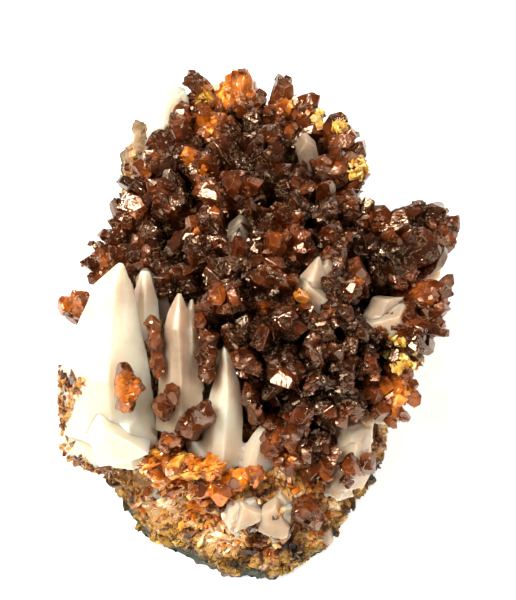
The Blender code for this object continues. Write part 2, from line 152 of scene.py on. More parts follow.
# Painted glow, where light comes through the crystals, painted into their colour: u, v, radius,
# strength.
GLOW_SPOTS = (
    (5.3, 46, 3.0, 1.0), (10.3, 42.5, 2.6, 0.8), (-9.8, 41.6, 2.8, 1.0), (-7, 48.8, 3.6, 1.5),
    (-11, 47.5, 2.2, 1.4), (-2.7, 49.5, 2.6, 1.2), (16, 39.5, 3, 0.55), (17.5, 36.5, 3, 0.5),
    (14.5, 33.5, 2.6, 0.5), (19.5, 32.5, 2.2, 0.9), (-16, 44, 3, 0.45), (-22.6, 32.6, 1.8, 0.8),
    (-11.5, 32.3, 2.0, 0.9), (-10.7, 28.8, 1.8, 0.7), (-14.3, 35.5, 1.3, 1.0), (-20.5, 35, 2, 0.4),
    (-28, 22, 2.2, 0.5), (-25.5, 23.5, 2, 0.5), (-31, 14, 2.6, 0.5), (-31, 11, 2.4, 0.6),
    (3.5, 17.5, 2.3, 1.0), (6.5, 20.5, 2, 0.4), (-8.5, 24, 1.6, 0.8), (-13, 20.5, 2, 0.7),
    (8.3, 6.8, 1.7, 1.0), (20, 9.5, 1.6, 0.7), (-7.5, 6.6, 2.3, 0.8), (24.5, 1.2, 1.8, 0.9),
    (33.5, 7.5, 4.2, 0.55), (30, 2, 2.4, 0.45), (36, 5, 3, 0.6), (28, -13, 4.4, 1.1),
    (27.5, -17, 3, 0.6), (28.5, -9, 3, 0.6), (6.5, -25.2, 2.4, 0.9), (3.2, -26, 2, 0.7),
    (2.5, -22, 1.6, 0.6), (12.6, -27.4, 2.6, 0.6), (8, -31.5, 2.4, 0.35), (22, 22.5, 2, 0.5),
    (18, 25.5, 2.4, 0.4), (37.5, 18, 3, 0.35), (9.5, 28, 2, 0.5), (1.5, 38.5, 1.6, 0.45),
    (6, 40.5, 1.8, 0.45), (0.3, 4.5, 1.4, 0.6), (13.5, 2.5, 1.6, 0.5), (17, 15, 1.6, 0.4),
)
# Least painted glow of each small cluster, as if light came through it all over.
CLUSTER_GLOW = {
    "orpiment_shoulder": 0.62, "orpiment_stack": 0.62, "orpiment_twin": 0.2, "orpiment_pair": 0.08,
    "orpiment_beads": 0.32, "orpiment_pendant": 0.12, "orpiment_drops": 0.2,
    "orpiment_cuff": 0.40, "orpiment_ledge": 0.85, "orpiment_lower_right": 0.3,
    "orpiment_front": 0.25,
}
# Hollows between the crystals of the druse, sunk into the surface and given painted shade: u, v,
# radius.
HOLLOWS = (
    (-2.4, 10.8, 3.0), (-1.0, 7.2, 3.6), (-4.0, 3.0, 3.0), (0.4, 2.2, 2.8), (5.2, -13.2, 3.0),
    (-18.8, 19.4, 2.6), (-19.6, 15.6, 2.4), (14.4, -11.4, 2.0), (4.6, -3.6, 2.2), (18.6, 19.8, 2.4),
    (1.4, -10.6, 2.6), (11.4, 26.8, 2.2), (0.2, 22.0, 2.2), (-5.2, 31.4, 2.2), (15.8, -0.2, 2.4),
    (25.0, 13.0, 2.0), (-3.2, 43.2, 2.4), (-5.4, 24.4, 2.2), (-15.0, 29.8, 2.2), (23.2, -3.4, 2.0),
)
HOLLOW_DEPTH = 4.0
# Share of a hollow's squared radius in which nothing grows.
HOLLOW_CORE = 0.8
# No crystal grows further out than this at the sides of the view.
GROWTH_REACH = 37.3
# Gaps between crystals sink by their own depth again, up to this much. Nothing grows deeper than
# the second value behind the front, or nearer to the table than the third, all in millimetres.
GAP_REACH = 5.0
GROWTH_DEPTH = 1.8
LOWEST_GAP = 19.0
# The whole surface that the large crystals stand on lies this far in.
SURFACE_SINK = 1.8
# Length of the large crystals against their usual.
PRISM_HEIGHT = 1.9
# How much of a crystal's colour is set at its root, and the rest at each corner.
ROOT_SHARE = 0.65
# Most points for each square metre of a growth, the scale of its bare patches, and the least and
# greatest stretch of one crystal across, along and up.
GROWTH_DENSITY = 4.0e6
PATCH_SCALE = 240.0
LEAST_STRETCH = (0.7, 0.7, 0.5)
MOST_STRETCH = (1.3, 1.1, 1.2)
# Scale of the lines along a crystal, across it and along it.
STRIPE_SCALE = (9.0, 9.0, 0.7)
# Painted highlights: thin pale lines where cracks and edges would catch the light. Half width
# of the lines as a share of their mesh, how strong they are, and their colour.
HIGHLIGHT_LINE_WIDTH = 0.05
HIGHLIGHT_LINE_STRENGTH = 0.30
HIGHLIGHT_LINE_COLOUR = (0.85, 0.52, 0.28)
# Stains and painted shade on the calcite: u, v, radius, strength.
STAIN_AND_SHADE_SPOTS = (
    (-23.0, 8.5, 4.2, 1.0), (-16.0, -6.0, 7.0, 0.3), (-4.5, -17.0, 8.0, -0.65),
    (-35.0, 5.0, 3.0, 0.35), (-16.0, 4.5, 3.0, 0.35), (-22.0, -14.0, 3.0, 0.4),
    (-9.0, -2.0, 2.0, -0.25), (-3.0, -22.0, 4.0, 0.10), (-30.0, 12.0, 1.8, 0.3),
)
# Places with lemon-yellow crumbs, as stretches of the view: u from, to, v from, to.
YELLOW_PLACES = (
    (11.3, 17.0, 40.5, 45.5), (18.5, 22.5, 30.5, 35.5),
    (-17.0, -10.5, 46.5, 51.0), (27.0, 30.5, -7.5, -2.0),
)
# The dense crust in front ends at this height of the view, and is full this far below it.
CRUST_TOP = -19.0
CRUST_FADE = 8.0
# The ochre film on the rock starts at this height in millimetres and is full this much higher.
FILM_FOOT = 3.5
FILM_RISE = 4.0
# Strength of the film at the sides, and how much stronger it is in front.
FILM_AT_SIDES = 0.42
FILM_IN_FRONT = 0.48
# Between these heights the crust turns from green and ochre to tan and cream.
CRUST_DARK = 3.5 * MM
CRUST_WARM = 8.0 * MM
# The rock's back is flat up to this height above the table. Crumbs, then lumps and the orpiment in
# the crust, and then yellow crumbs start at these heights.
FLAT_BACK = 0.9 * MM
CRUMB_FOOT = 3.2 * MM
LUMP_FOOT = 5.0 * MM
YELLOW_FOOT = 8.0 * MM
# The crust's skin starts about this high above the table, with an edge that is ragged by so much
# in rags of so much, and has this thickness.
SKIN_FOOT = 2.9 * MM
SKIN_EDGE = 3.2 * MM
SKIN_RAGS = 3.5 * MM
SKIN_WALL = 0.9 * MM
# The parts of the front calcite block that crumbs cover.
BLOCK_EDGES = ((-20.0, 20.0, -60.0, -39.5), (-20.0, 20.0, -35.0, -20.0), (0.2, 3.0, -60.0, -20.0))
# The edge of earthy crust on the calcite at the left, likewise.
EDGE_PLACES = (
    (-45.0, -37.8, -23.0, -9.0), (-39.4, -34.0, -29.5, -24.5), (-34.0, -24.0, -31.0, -27.5),
)
# Broad calcites in the gaps: name, u, v, height, width, length and thickness, where the tip is
# from -1 at the left to 1, turn to the left in degrees, and how stained or painted with shade.
GAP_CALCITES = (
    ("calcite_gap_upper", 9.8, 34.6, 31.6, (4.4, 10.0, 3.4), 0.1, 12, 1.5),
    ("calcite_gap_middle", -4.2, 18.2, 36.6, (4.8, 9.0, 4.0), 0.0, -6, 1.75),
    ("calcite_gap_centre", 11.0, 6.2, 37.4, (6.4, 10.0, 5.0), -0.3, 12, 0.8),
    ("calcite_gap_small", 12.6, 10.6, 38.0, (3.4, 8.0, 3.0), 0.2, -8, 1.1),
    ("calcite_gap_right", 25.2, 2.0, 31.0, (8.5, 8.0, 5.0), 0.4, -30, 0.8),
    ("calcite_gap_left", -21.5, 7.2, 28.5, (6.0, 10.0, 5.0), -0.2, 10, 1.3),
)
# Calcite blocks and chips in the crust, likewise, with how far they stand out in place of the
# height, and the nodes that carry them.
CHIP_CARRIERS = ("matrix", "calcite_block_front", "calcite_great_spire")
CRUST_CALCITES = (
    ("calcite_chip_broad", -27.4, -20.4, 0.5, (13.4, 10.0, 7.0), -0.45, 20, -0.15),
    ("calcite_chip_left", -4.0, -37.0, -0.3, (9.5, 5.0, 3.0), 0.3, 25, 0.75),
    ("calcite_chip_middle", 3.2, -37.4, -1.2, (6.4, 7.4, 3.6), -0.2, -12, 0.95),
    ("calcite_chip_upper", 2.6, -33.8, 0.2, (7.6, 3.4, 3.0), 0.4, 10, 0.80),
    ("calcite_chip_far_left", -20.6, -32.4, -0.2, (4.0, 3.0, 2.2), 0.0, 15, 0.85),
    ("calcite_chip_right", 13.0, -41.0, -0.4, (4.6, 3.4, 2.4), 0.2, -30, 0.95),
)
# Where amber orpiment shows in the crust, as stretches of the view.
AMBER_PLACES = (
    (-22.0, -9.0, -28.5, -23.5), (-15.0, -5.0, -34.0, -28.0), (-9.5, -4.5, -36.0, -33.5),
    (8.0, 13.0, -34.0, -30.0), (-24.0, -19.0, -36.0, -33.0), (-6.0, 4.0, -43.5, -40.0),
    (-6.0, 8.0, -31.5, -27.0), (-14.0, -6.0, -39.0, -35.0), (8.0, 14.0, -44.0, -36.0),
)
# Where golden fibres cover the ledge and the rock under it.
FIBRE_PLACES = ((-23.0, -5.0, -28.6, -22.5), (-21.0, -13.6, -33.0, -28.6))
# How far the tops of the broad calcites lean out.
BLADE_LEAN = math.radians(24.0)
# The calcites that are broken blocks and not crystals with smooth faces.
BROKEN_CALCITES = ("calcite_block_front", "calcite_block_lower", "calcite_corner")
# How stained each calcite is, or how much shade is painted on it: 0 is clean, 0.8 stained
# and 1.7 painted in the colour of shade in the druse.
CALCITE_STAIN_AND_SHADE = {
    "calcite_great_spire": -0.05, "calcite_spires": 0.75, "calcite_tooth_upper": 1.3,
    "calcite_tooth_middle": 0.9, "calcite_tooth_left": 1.5, "calcite_block_right": 1.1,
    "calcite_edge_right": 0.6, "calcite_block_lower": 0.6, "calcite_block_front": 0.5,
    "calcite_corner": 0.0,
}


class DruseSettings(bpy.types.PropertyGroup):
    """Size and colours of the orpiment."""
    spacing: FloatProperty(name="Spacing", description="Least distance between two small crystals",
                           default=0.85 * MM, unit="LENGTH", precision=5)
    small_sizes: FloatVectorProperty(name="Small crystals", description="Least and greatest width",
                                     size=2, default=(0.7 * MM, 1.6 * MM), unit="LENGTH",
                                     precision=5)
    grain: FloatProperty(name="Grain", description="Size of the mesh cells of the druse",
                         default=0.5 * MM, unit="LENGTH", precision=5)
    cluster_grain: FloatProperty(name="Cluster grain", unit="LENGTH", precision=5,
                                 description="Size of the mesh cells of the small clusters",
                                 default=0.28 * MM)
    facet: FloatProperty(name="Facet", description="Usual width of one facet", unit="LENGTH",
                         default=1.5 * MM, precision=5)
    large_spacing: FloatProperty(name="Large spacing", unit="LENGTH", precision=5,
                                 description="Least distance between two large crystals",
                                 default=3.0 * MM)
    large_sizes: FloatVectorProperty(name="Large crystals", description="Least and greatest width",
                                     size=2, default=(2.0 * MM, 4.7 * MM), unit="LENGTH",
                                     precision=5)
    amber_sizes: FloatVectorProperty(name="Amber crystals", description="Least and greatest width",
                                     size=2, default=(0.8 * MM, 1.9 * MM), unit="LENGTH",
                                     precision=5)
    amber_glow: FloatProperty(name="Amber glow", default=0.85,
                              description="How light the orpiment in the crust is")
    fibre_sizes: FloatVectorProperty(name="Fibres", description="Least and greatest length",
                                     size=2, default=(1.0 * MM, 2.2 * MM), unit="LENGTH",
                                     precision=5)
    fibre_glow: FloatProperty(name="Fibre glow", default=1.2,
                              description="How light the golden fibres on the ledge are")
    seed: IntProperty(name="Seed", description="Chooses the scatter of the crystals", default=7)
    # Dark colour: the darkest crystals, and the painted shade that the deep attribute puts into the
    # gaps and hollows of the druse.
    dark_and_shade: FloatVectorProperty(name="Dark", description="Colour of thick crystals", subtype="COLOR",
                              default=(0.014, 0.0034, 0.0007))
    brown: FloatVectorProperty(name="Brown", description="Colour of most crystals",
                               subtype="COLOR", default=(0.036, 0.0070, 0.0012))
    red: FloatVectorProperty(name="Red", description="Colour of thinner crystals", subtype="COLOR",
                             default=(0.120, 0.021, 0.0035))
    # Ember, orange and gold are painted glow, mixed into the colour where light would come through.
    ember: FloatVectorProperty(name="Ember", description="Colour where a little light shines",
                               subtype="COLOR", default=(0.22, 0.046, 0.006))
    orange: FloatVectorProperty(name="Orange", description="Colour where light comes through",
                                subtype="COLOR", default=(0.66, 0.17, 0.008))
    gold: FloatVectorProperty(name="Gold", description="Colour of the brightest thin edges",
                              subtype="COLOR", default=(0.85, 0.46, 0.07))


class CalciteSettings(bpy.types.PropertyGroup):
    """Finish of the calcite."""
    grain: FloatProperty(name="Grain", description="Size of the mesh cells of the calcite",
                         default=0.30 * MM, unit="LENGTH", precision=5)
    unevenness: FloatProperty(name="Unevenness", description="Depth of the growth lines",
                              default=0.30 * MM, unit="LENGTH", precision=5)
    facet: FloatProperty(name="Facet", description="Usual width of one face of a broken block",
                         default=3.4 * MM, unit="LENGTH", precision=5)
    pale: FloatVectorProperty(name="Pale", description="Colour of clean calcite", subtype="COLOR",
                              default=(0.79, 0.72, 0.55))
    stained: FloatVectorProperty(name="Stained", description="Colour of stained calcite",
                                 subtype="COLOR", default=(0.52, 0.37, 0.25))
    # The shaded colour is painted shade, for calcite lying in the shade of the druse.
    shaded: FloatVectorProperty(name="Shaded", description="Colour of calcite deep in the druse",
                                subtype="COLOR", default=(0.13, 0.095, 0.062))


class RockSettings(bpy.types.PropertyGroup):
    """Finish of the rock and its crust."""
    grain: FloatProperty(name="Grain", description="Size of the mesh cells of the rock",
                         default=0.75 * MM, unit="LENGTH", precision=5)
    roughness: FloatProperty(name="Roughness", description="Depth of the hollows in the rock",
                             default=2.2 * MM, unit="LENGTH", precision=5)
    facet: FloatProperty(name="Facet", description="Usual width of one broken face",
                         default=2.6 * MM, unit="LENGTH", precision=5)
    skin_grain: FloatProperty(name="Crust grain", description="Size of the mesh cells of the crust",
                              default=0.42 * MM, unit="LENGTH", precision=5)
    flake: FloatProperty(name="Flake", description="Usual width of one flake of the crust",
                         default=1.2 * MM, unit="LENGTH", precision=5)
    crumb_spacing: FloatProperty(name="Crumb spacing", description="Least distance of two crumbs",
                                 default=0.62 * MM, unit="LENGTH", precision=5)
    rock: FloatVectorProperty(name="Rock", description="Colour of the bare rock", subtype="COLOR",
                              default=(0.055, 0.062, 0.034))
    ochre: FloatVectorProperty(name="Ochre", description="Colour of the earthy crust",
                               subtype="COLOR", default=(0.41, 0.20, 0.022))


class StageSettings(bpy.types.PropertyGroup):
    """Camera, floor and lights."""
    camera_distance: FloatProperty(name="Camera distance", description="From camera to specimen",
                                   default=1.2, unit="LENGTH")
    view_side: FloatProperty(name="View side", unit="LENGTH", default=120 * MM,
                             description="Long side of the view at the specimen")
    key_power: FloatProperty(name="Key light", description="Power of the main light in watts",
                             default=8.0)
    floor_light: FloatProperty(name="Floor light", description="Light of the floor itself",
                               default=0.6)
    sky: FloatProperty(name="Sky", description="Brightness of the surroundings", default=0.10)


class SpecimenSettings(bpy.types.PropertyGroup):
    """All settings of the specimen."""
    druse: PointerProperty(type=DruseSettings)
    calcite: PointerProperty(type=CalciteSettings)
    rock: PointerProperty(type=RockSettings)
    stage: PointerProperty(type=StageSettings)


def seat(u, v, height):
    """The point in metres seen at u and v that is the given height above the table."""
    depth = (height - v * UPWARD.z) / TOWARD.z
    return (CROSSWISE * u + UPWARD * v + TOWARD * depth) * MM


# The druse's crystals point away from here.
DRUSE_FOCUS = seat(-1, -4, 2)


def height_at(u, v, nodes):
    """The height in millimetres of the first of these nodes seen at u and v."""
    found = []
    for node in nodes:
        mesh = NODES[node].data
        tree = BVHTree.FromPolygons([corner.co for corner in mesh.vertices],
                                    [face.vertices for face in mesh.polygons])
        place = tree.ray_cast(seat(u, v, 200.0), -TOWARD)[0]
        if place is not None:
            found.append(place.z / MM)
    return max(found)


def points_of(mesh, what="co"):
    """The places of the mesh's corners, or their normals, as an array."""
    values = np.empty(len(mesh.vertices) * 3, dtype=np.float32)
    mesh.vertices.foreach_get(what, values)
    return values.reshape(-1, 3)


def move_points(obj, points):
    """Put the object's corners at these points."""
    obj.data.vertices.foreach_set("co", points.astype(np.float32).ravel())
    obj.data.update()


def view_of(points):
    """u and v of points in metres."""
    return points[:, 0] / MM, points @ np.array(UPWARD) / MM


def only(obj):
    """Select this object alone and make it active."""
    bpy.ops.object.select_all(action="DESELECT")
    obj.select_set(True)
    bpy.context.view_layer.objects.active = obj


def join(objects):
    """Join the objects into the first of them."""
    only(objects[0])
    for obj in objects[1:]:
        obj.select_set(True)
    if len(objects) > 1:
        bpy.ops.object.join()


def smooth(obj, degrees):
    """Shade the object smooth, except across edges that turn by more than this."""
    only(obj)
    bpy.ops.object.shade_smooth_by_angle(angle=math.radians(degrees))


def carrier(name, nodes):
    """A new object with copies of the frame's nodes, each a closed and merged shell."""
    copies = [bpy.data.objects.new(name, NODES[node].data.copy()) for node in nodes]
    for obj in copies:
        bpy.context.scene.collection.objects.link(obj)
    join(copies)
    obj = bpy.context.view_layer.objects.active
    obj.name = name
    obj.data.materials.clear()
    bpy.ops.object.mode_set(mode="EDIT")
    bpy.ops.mesh.select_all(action="SELECT")
    bpy.ops.mesh.remove_doubles(threshold=0.001 * MM)
    bpy.ops.object.mode_set(mode="OBJECT")
    return obj


def keep_faces(obj, wanted):
    """Delete the faces for whose centre and normal wanted is false."""
    solid = bmesh.new()
    solid.from_mesh(obj.data)
    dropped = [face for face in solid.faces if not wanted(face.calc_center_median(), face.normal)]
    bmesh.ops.delete(solid, geom=dropped, context="FACES")
    solid.to_mesh(obj.data)
    solid.free()


def apply_modifiers(obj):
    """Apply all modifiers of the object in order."""
    only(obj)
    for modifier in list(obj.modifiers):
        bpy.ops.object.modifier_apply(modifier=modifier.name)


def inside_box(obj, margin=0.02 * MM):
    """Press what stands out of the frame's box back to its sides."""
    low = np.array(CAD_BOX[0]) + margin
    low[2] = 0.0
    high = np.array(CAD_BOX[1]) - margin
    move_points(obj, np.clip(points_of(obj.data), low, high))


def paint(obj, name, values):
    """Store one value for each corner of the mesh."""
    if name in obj.data.attributes:
        obj.data.attributes.remove(obj.data.attributes[name])
    layer = obj.data.attributes.new(name, "FLOAT", "POINT")
    layer.data.foreach_set("value", values.astype(np.float32))


def falloff(points, spot_u, spot_v, radius):
    """1 in the middle of a spot of the view, falling away over its radius."""
    u, v = view_of(points)
    return np.exp(-((u - spot_u) ** 2 + (v - spot_v) ** 2) / radius ** 2)


def spot_glow(points):
    """How much light comes through the druse at each point."""
    glow = np.zeros(len(points))
    for *spot, strength in GLOW_SPOTS:
        glow = np.maximum(glow, strength * falloff(points, *spot))
    return glow


def hollowness(points):
    """1 in the middle of a hollow of the druse, 0 away from all of them."""
    hollow = np.zeros(len(points))
    for spot in HOLLOWS:
        hollow = np.maximum(hollow, falloff(points, *spot))
    return hollow


def view_cells(points):
    """The chart cell in which each point is seen."""
    u, v = view_of(points)
    return ((v + CHART_SIZE / 2).astype(int), (u + CHART_SIZE / 2).astype(int))


def window_sum(chart):
    """The sum of the chart over a square window round each cell."""
    for axis in (0, 1):
        chart = sum(np.roll(chart, step, axis) for step in range(-CHART_REACH, CHART_REACH + 1))
    return chart


def front_chart(points):
    """The mean height of the front surface round each cell of a chart of the view, in mm."""
    cells = view_cells(points)
    front = np.full((CHART_SIZE, CHART_SIZE), -np.inf)
    np.maximum.at(front, cells, points @ np.array(TOWARD) / MM)
    seen = np.isfinite(front)
    total = window_sum(np.where(seen, front, 0.0))
    count = window_sum(seen.astype(float))
    unseen = 1.0 - count / (2 * CHART_REACH + 1) ** 2
    return total / np.maximum(count, 1.0) - RIM_DROP * unseen


def cavity(points, chart):
    """How far in millimetres each point lies behind the front surface round it."""
    return chart[view_cells(points)] - points @ np.array(TOWARD) / MM


def seen_at(centre):
    """u and v of one point in metres."""
    return centre.x / MM, centre.dot(UPWARD) / MM


def in_places(centre, places):
    """Whether a point lies in one of the stretches of the view."""
    u, v = seen_at(centre)
    return any(left <= u < right and low <= v < high for left, right, low, high in places)


def in_hollow(centre):
    """Whether a point lies in one of the druse's hollows."""
    u, v = seen_at(centre)
    return any((u - spot_u) ** 2 + (v - spot_v) ** 2 < HOLLOW_CORE * radius ** 2
               for spot_u, spot_v, radius in HOLLOWS)


def cut_by_planes(cuts):
    """In edit mode, cut off all that stands out of each plane."""
    for place, normal in cuts:
        bpy.ops.mesh.select_all(action="SELECT")
        bpy.ops.mesh.bisect(plane_co=place, plane_no=normal, use_fill=True, clear_outer=True)
    bpy.ops.mesh.select_all(action="SELECT")


def crystal_form(name, sides, stretch, cuts, bevel):
    """A crystal about one unit wide, rooted below its origin and cut by planes.

    Each corner keeps its place on the crystal, so that a material can run lines along it.
    """
    bpy.ops.object.select_all(action="DESELECT")
    bpy.ops.mesh.primitive_cylinder_add(vertices=sides, radius=FORM_RADIUS, depth=FORM_DEPTH,
                                        location=(0, 0, FORM_TOP - FORM_DEPTH / 2))
    obj = bpy.context.active_object
    obj.name = name
    bpy.ops.object.transform_apply(location=True)
    bpy.ops.object.mode_set(mode="EDIT")
    bpy.ops.mesh.select_all(action="SELECT")
    bpy.ops.transform.resize(value=(*stretch, 1.0), center_override=(0, 0, 0))
    cut_by_planes(cuts)
    if bevel:
        bpy.ops.mesh.bevel(offset=bevel, segments=1, affect="EDGES")
        bpy.ops.mesh.select_all(action="SELECT")
    bpy.ops.mesh.normals_make_consistent(inside=False)
    bpy.ops.object.mode_set(mode="OBJECT")
    local = obj.data.attributes.new("local", "FLOAT_VECTOR", "POINT")
    local.data.foreach_set("vector", points_of(obj.data).ravel())
    return obj


def crystal_forms(group):
    """A collection of its own for one group of the crystals that the growths repeat."""
    made = bpy.data.collections.new(group)
    for form in FORMS[group]:
        obj = crystal_form(*form)
        for old in list(obj.users_collection):
            old.objects.unlink(obj)
        made.objects.link(obj)
    return made


def add_node(tree, kind, inputs=None, **settings):
    """A node with some of its settings and inputs given, an input by a socket or a value."""
    node = tree.nodes.new(kind)
    for key, value in settings.items():
        setattr(node, key, value)
    for key, value in (inputs or {}).items():
        fill(tree, node.inputs[key], value)
    return node


def fill(tree, socket, value):
    """Link another socket to this one, or store a value in it."""
    if isinstance(value, bpy.types.NodeSocket):
        tree.links.new(value, socket)
    else:
        socket.default_value = value


def random_value(tree, data_type, low, high, seed, offset):
    """Random values for each point; low and high are numbers, vectors or sockets."""
    first, last, out = {"FLOAT_VECTOR": (0, 1, 0), "FLOAT": (2, 3, 1), "INT": (4, 5, 2)}[data_type]
    shifted = add_node(tree, "ShaderNodeMath", {0: seed, 1: offset}, operation="ADD")
    inputs = {first: low, last: high, "Seed": shifted.outputs[0]}
    return add_node(tree, "FunctionNodeRandomValue", inputs, data_type=data_type).outputs[out]


def vector_step(tree, operation, *operands, scale=None):
    """A vector math node on sockets and vectors."""
    inputs = dict(enumerate(operands))
    if scale is not None:
        inputs["Scale"] = scale
    node = add_node(tree, "ShaderNodeVectorMath", inputs, operation=operation)
    return node.outputs["Value" if operation == "DOT_PRODUCT" else "Vector"]


def growth_tree(name, forms):
    """Geometry nodes that grow forms over a surface, as real mesh with a tone for each one."""
    tree = bpy.data.node_groups.new(name, "GeometryNodeTree")
    for label, kind in (
            ("Geometry", "Geometry"), ("Spacing", "Float"), ("Smallest", "Float"),
            ("Largest", "Float"), ("Height", "Float"), ("Lean", "Float"), ("Loose", "Float"),
            ("Turn", "Float"), ("Bare", "Float"), ("Away from", "Vector"), ("Seed", "Int"),
            ("Keep surface", "Bool")):
        tree.interface.new_socket(label, in_out="INPUT", socket_type="NodeSocket" + kind)
    tree.interface.new_socket("Geometry", in_out="OUTPUT", socket_type="NodeSocketGeometry")
    given = add_node(tree, "NodeGroupInput").outputs
    seed = given["Seed"]

    here = add_node(tree, "GeometryNodeInputPosition").outputs[0]
    patches = add_node(tree, "ShaderNodeTexNoise", {"Vector": here, "Scale": PATCH_SCALE})
    covered = add_node(tree, "ShaderNodeMath", {0: patches.outputs["Fac"], 1: given["Bare"]},
                       operation="GREATER_THAN")
    spread = add_node(tree, "GeometryNodeDistributePointsOnFaces", {
        "Mesh": given["Geometry"], "Distance Min": given["Spacing"],
        "Density Max": GROWTH_DENSITY, "Density Factor": covered.outputs[0], "Seed": seed,
    }, distribute_method="POISSON").outputs

    outward = vector_step(tree, "SUBTRACT", here, given["Away from"])
    outward = vector_step(tree, "NORMALIZE", outward)
    leaning = vector_step(tree, "SCALE", outward, scale=given["Lean"])
    direction = vector_step(tree, "ADD", spread["Normal"], leaning)
    jitter = random_value(tree, "FLOAT_VECTOR", (-1, -1, -1), (1, 1, 1), seed, 1)
    jitter = vector_step(tree, "SCALE", jitter, scale=given["Loose"])
    direction = vector_step(tree, "ADD", direction, jitter)
    align = add_node(tree, "FunctionNodeAlignRotationToVector", {"Vector": direction}, axis="Z")
    turn = random_value(tree, "FLOAT", 0.0, given["Turn"], seed, 2)
    turn = add_node(tree, "ShaderNodeCombineXYZ", {"Z": turn})
    spin = add_node(tree, "FunctionNodeEulerToRotation", {0: turn.outputs[0]})
    rotated = add_node(tree, "FunctionNodeRotateRotation",
                       {0: align.outputs[0], 1: spin.outputs[0]}, rotation_space="LOCAL")

    size = random_value(tree, "FLOAT", given["Smallest"], given["Largest"], seed, 3)
    shape = random_value(tree, "FLOAT_VECTOR", LEAST_STRETCH, MOST_STRETCH, seed, 5)
    shape = vector_step(tree, "SCALE", shape, scale=size)
    stretch = add_node(tree, "ShaderNodeCombineXYZ", {0: 1.0, 1: 1.0, 2: given["Height"]})
    shape = vector_step(tree, "MULTIPLY", shape, stretch.outputs[0])

    source = add_node(tree, "GeometryNodeCollectionInfo", {
        "Collection": forms, "Separate Children": True, "Reset Children": True})
    grown = add_node(tree, "GeometryNodeInstanceOnPoints", {
        "Pick Instance": True, "Points": spread["Points"], "Instance": source.outputs[0],
        "Instance Index": random_value(tree, "INT", 0, len(forms.objects) - 1, seed, 4),
        "Rotation": rotated.outputs[0], "Scale": shape})
    tone = random_value(tree, "FLOAT", 0.0, 1.0, seed, 6)
    root = add_node(tree, "GeometryNodeInputPosition").outputs[0]
    crystals = grown.outputs[0]
    for label, kind, value in (("tone", "FLOAT", tone), ("root", "FLOAT_VECTOR", root)):
        crystals = add_node(tree, "GeometryNodeStoreNamedAttribute", {
            "Geometry": crystals, "Name": label, "Value": value,
        }, data_type=kind, domain="INSTANCE").outputs[0]
    real = add_node(tree, "GeometryNodeRealizeInstances", {0: crystals})
    surface = add_node(tree, "GeometryNodeSwitch",
                       {0: given["Keep surface"], 2: given["Geometry"]}, input_type="GEOMETRY")
    both = add_node(tree, "GeometryNodeJoinGeometry", {0: real.outputs[0]})
    tree.links.new(surface.outputs[0], both.inputs[0])
    add_node(tree, "NodeGroupOutput", {0: both.outputs[0]})
    return tree


def grow(obj, tree, spacing, sizes, seed, height=1.0, lean=0.0, loose=0.15, turn=0.3, bare=0.0,
         keep=False):
    """Grow forms over the surface of the object, and keep or drop the surface itself."""
    modifier = obj.modifiers.new("growth", "NODES")
    modifier.node_group = tree
    values = {"Spacing": spacing, "Smallest": sizes[0], "Largest": sizes[1], "Height": height,
              "Lean": lean, "Loose": loose, "Turn": turn, "Bare": bare, "Away from": DRUSE_FOCUS,
              "Seed": seed, "Keep surface": keep}
    for item in tree.interface.items_tree:
        if item.in_out == "INPUT" and item.name in values:
            modifier[item.identifier] = values[item.name]
    apply_modifiers(obj)
    inside_box(obj)


def place_piece(obj, material, replaced=()):
    """Give a finished piece its material and its place in the frame."""
    obj.data.materials.clear()
    obj.data.materials.append(material)
    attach(obj, "root")
    if replaced:
        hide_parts(*replaced)


def material_of(name, draw, *settings):
    """The material of this name, drawn when it is first asked for."""
    if name not in bpy.data.materials:
        material = bpy.data.materials.new(name)
        material.use_nodes = True
        tree = material.node_tree
        for key, value in draw(tree, *settings).items():
            fill(tree, tree.nodes["Principled BSDF"].inputs[key], value)
    return bpy.data.materials[name]


def facet_group():
    """Group: heights of small flat faces, each tilted its own way, on Object coordinates."""
    name = "broken_faces"
    if name in bpy.data.node_groups:
        return bpy.data.node_groups[name]
    tree = bpy.data.node_groups.new(name, "ShaderNodeTree")
    for label, way in (("Scale", "INPUT"), ("Height", "OUTPUT"), ("Cell", "OUTPUT")):
        tree.interface.new_socket(label, in_out=way, socket_type="NodeSocketFloat")
    scale = add_node(tree, "NodeGroupInput").outputs["Scale"]
    place = add_node(tree, "ShaderNodeTexCoord").outputs["Object"]
    cells = add_node(tree, "ShaderNodeTexVoronoi", {"Vector": place, "Scale": scale}).outputs
    tilt = vector_step(tree, "SUBTRACT", cells["Color"], (0.5, 0.5, 0.5))
    scaled = vector_step(tree, "SCALE", place, scale=scale)
    cell_centre = vector_step(tree, "SCALE", cells["Position"], scale=scale)
    from_centre = vector_step(tree, "SUBTRACT", scaled, cell_centre)
    height = vector_step(tree, "DOT_PRODUCT", from_centre, tilt)
    parts = add_node(tree, "ShaderNodeSeparateColor", {0: cells["Color"]})
    add_node(tree, "NodeGroupOutput", {"Height": height, "Cell": parts.outputs[0]})
    return tree


def add_facets(tree, scale):
    """The height and cell of the broken faces at a scale."""
    return add_node(tree, "ShaderNodeGroup", {"Scale": scale}, node_tree=facet_group()).outputs


def add_bump(tree, height, strength, distance, before=None):
    """The normal that a height gives, on top of another normal if there is one."""
    inputs = {"Height": height, "Strength": strength, "Distance": distance}
    if before is not None:
        inputs["Normal"] = before
    return add_node(tree, "ShaderNodeBump", inputs).outputs["Normal"]


def add_noise(tree, scale, detail=4.0, roughness=0.55, output="Fac"):
    """Noise on Object coordinates."""
    place = add_node(tree, "ShaderNodeTexCoord").outputs["Object"]
    inputs = {"Vector": place, "Scale": scale, "Detail": detail, "Roughness": roughness}
    return add_node(tree, "ShaderNodeTexNoise", inputs).outputs[output]


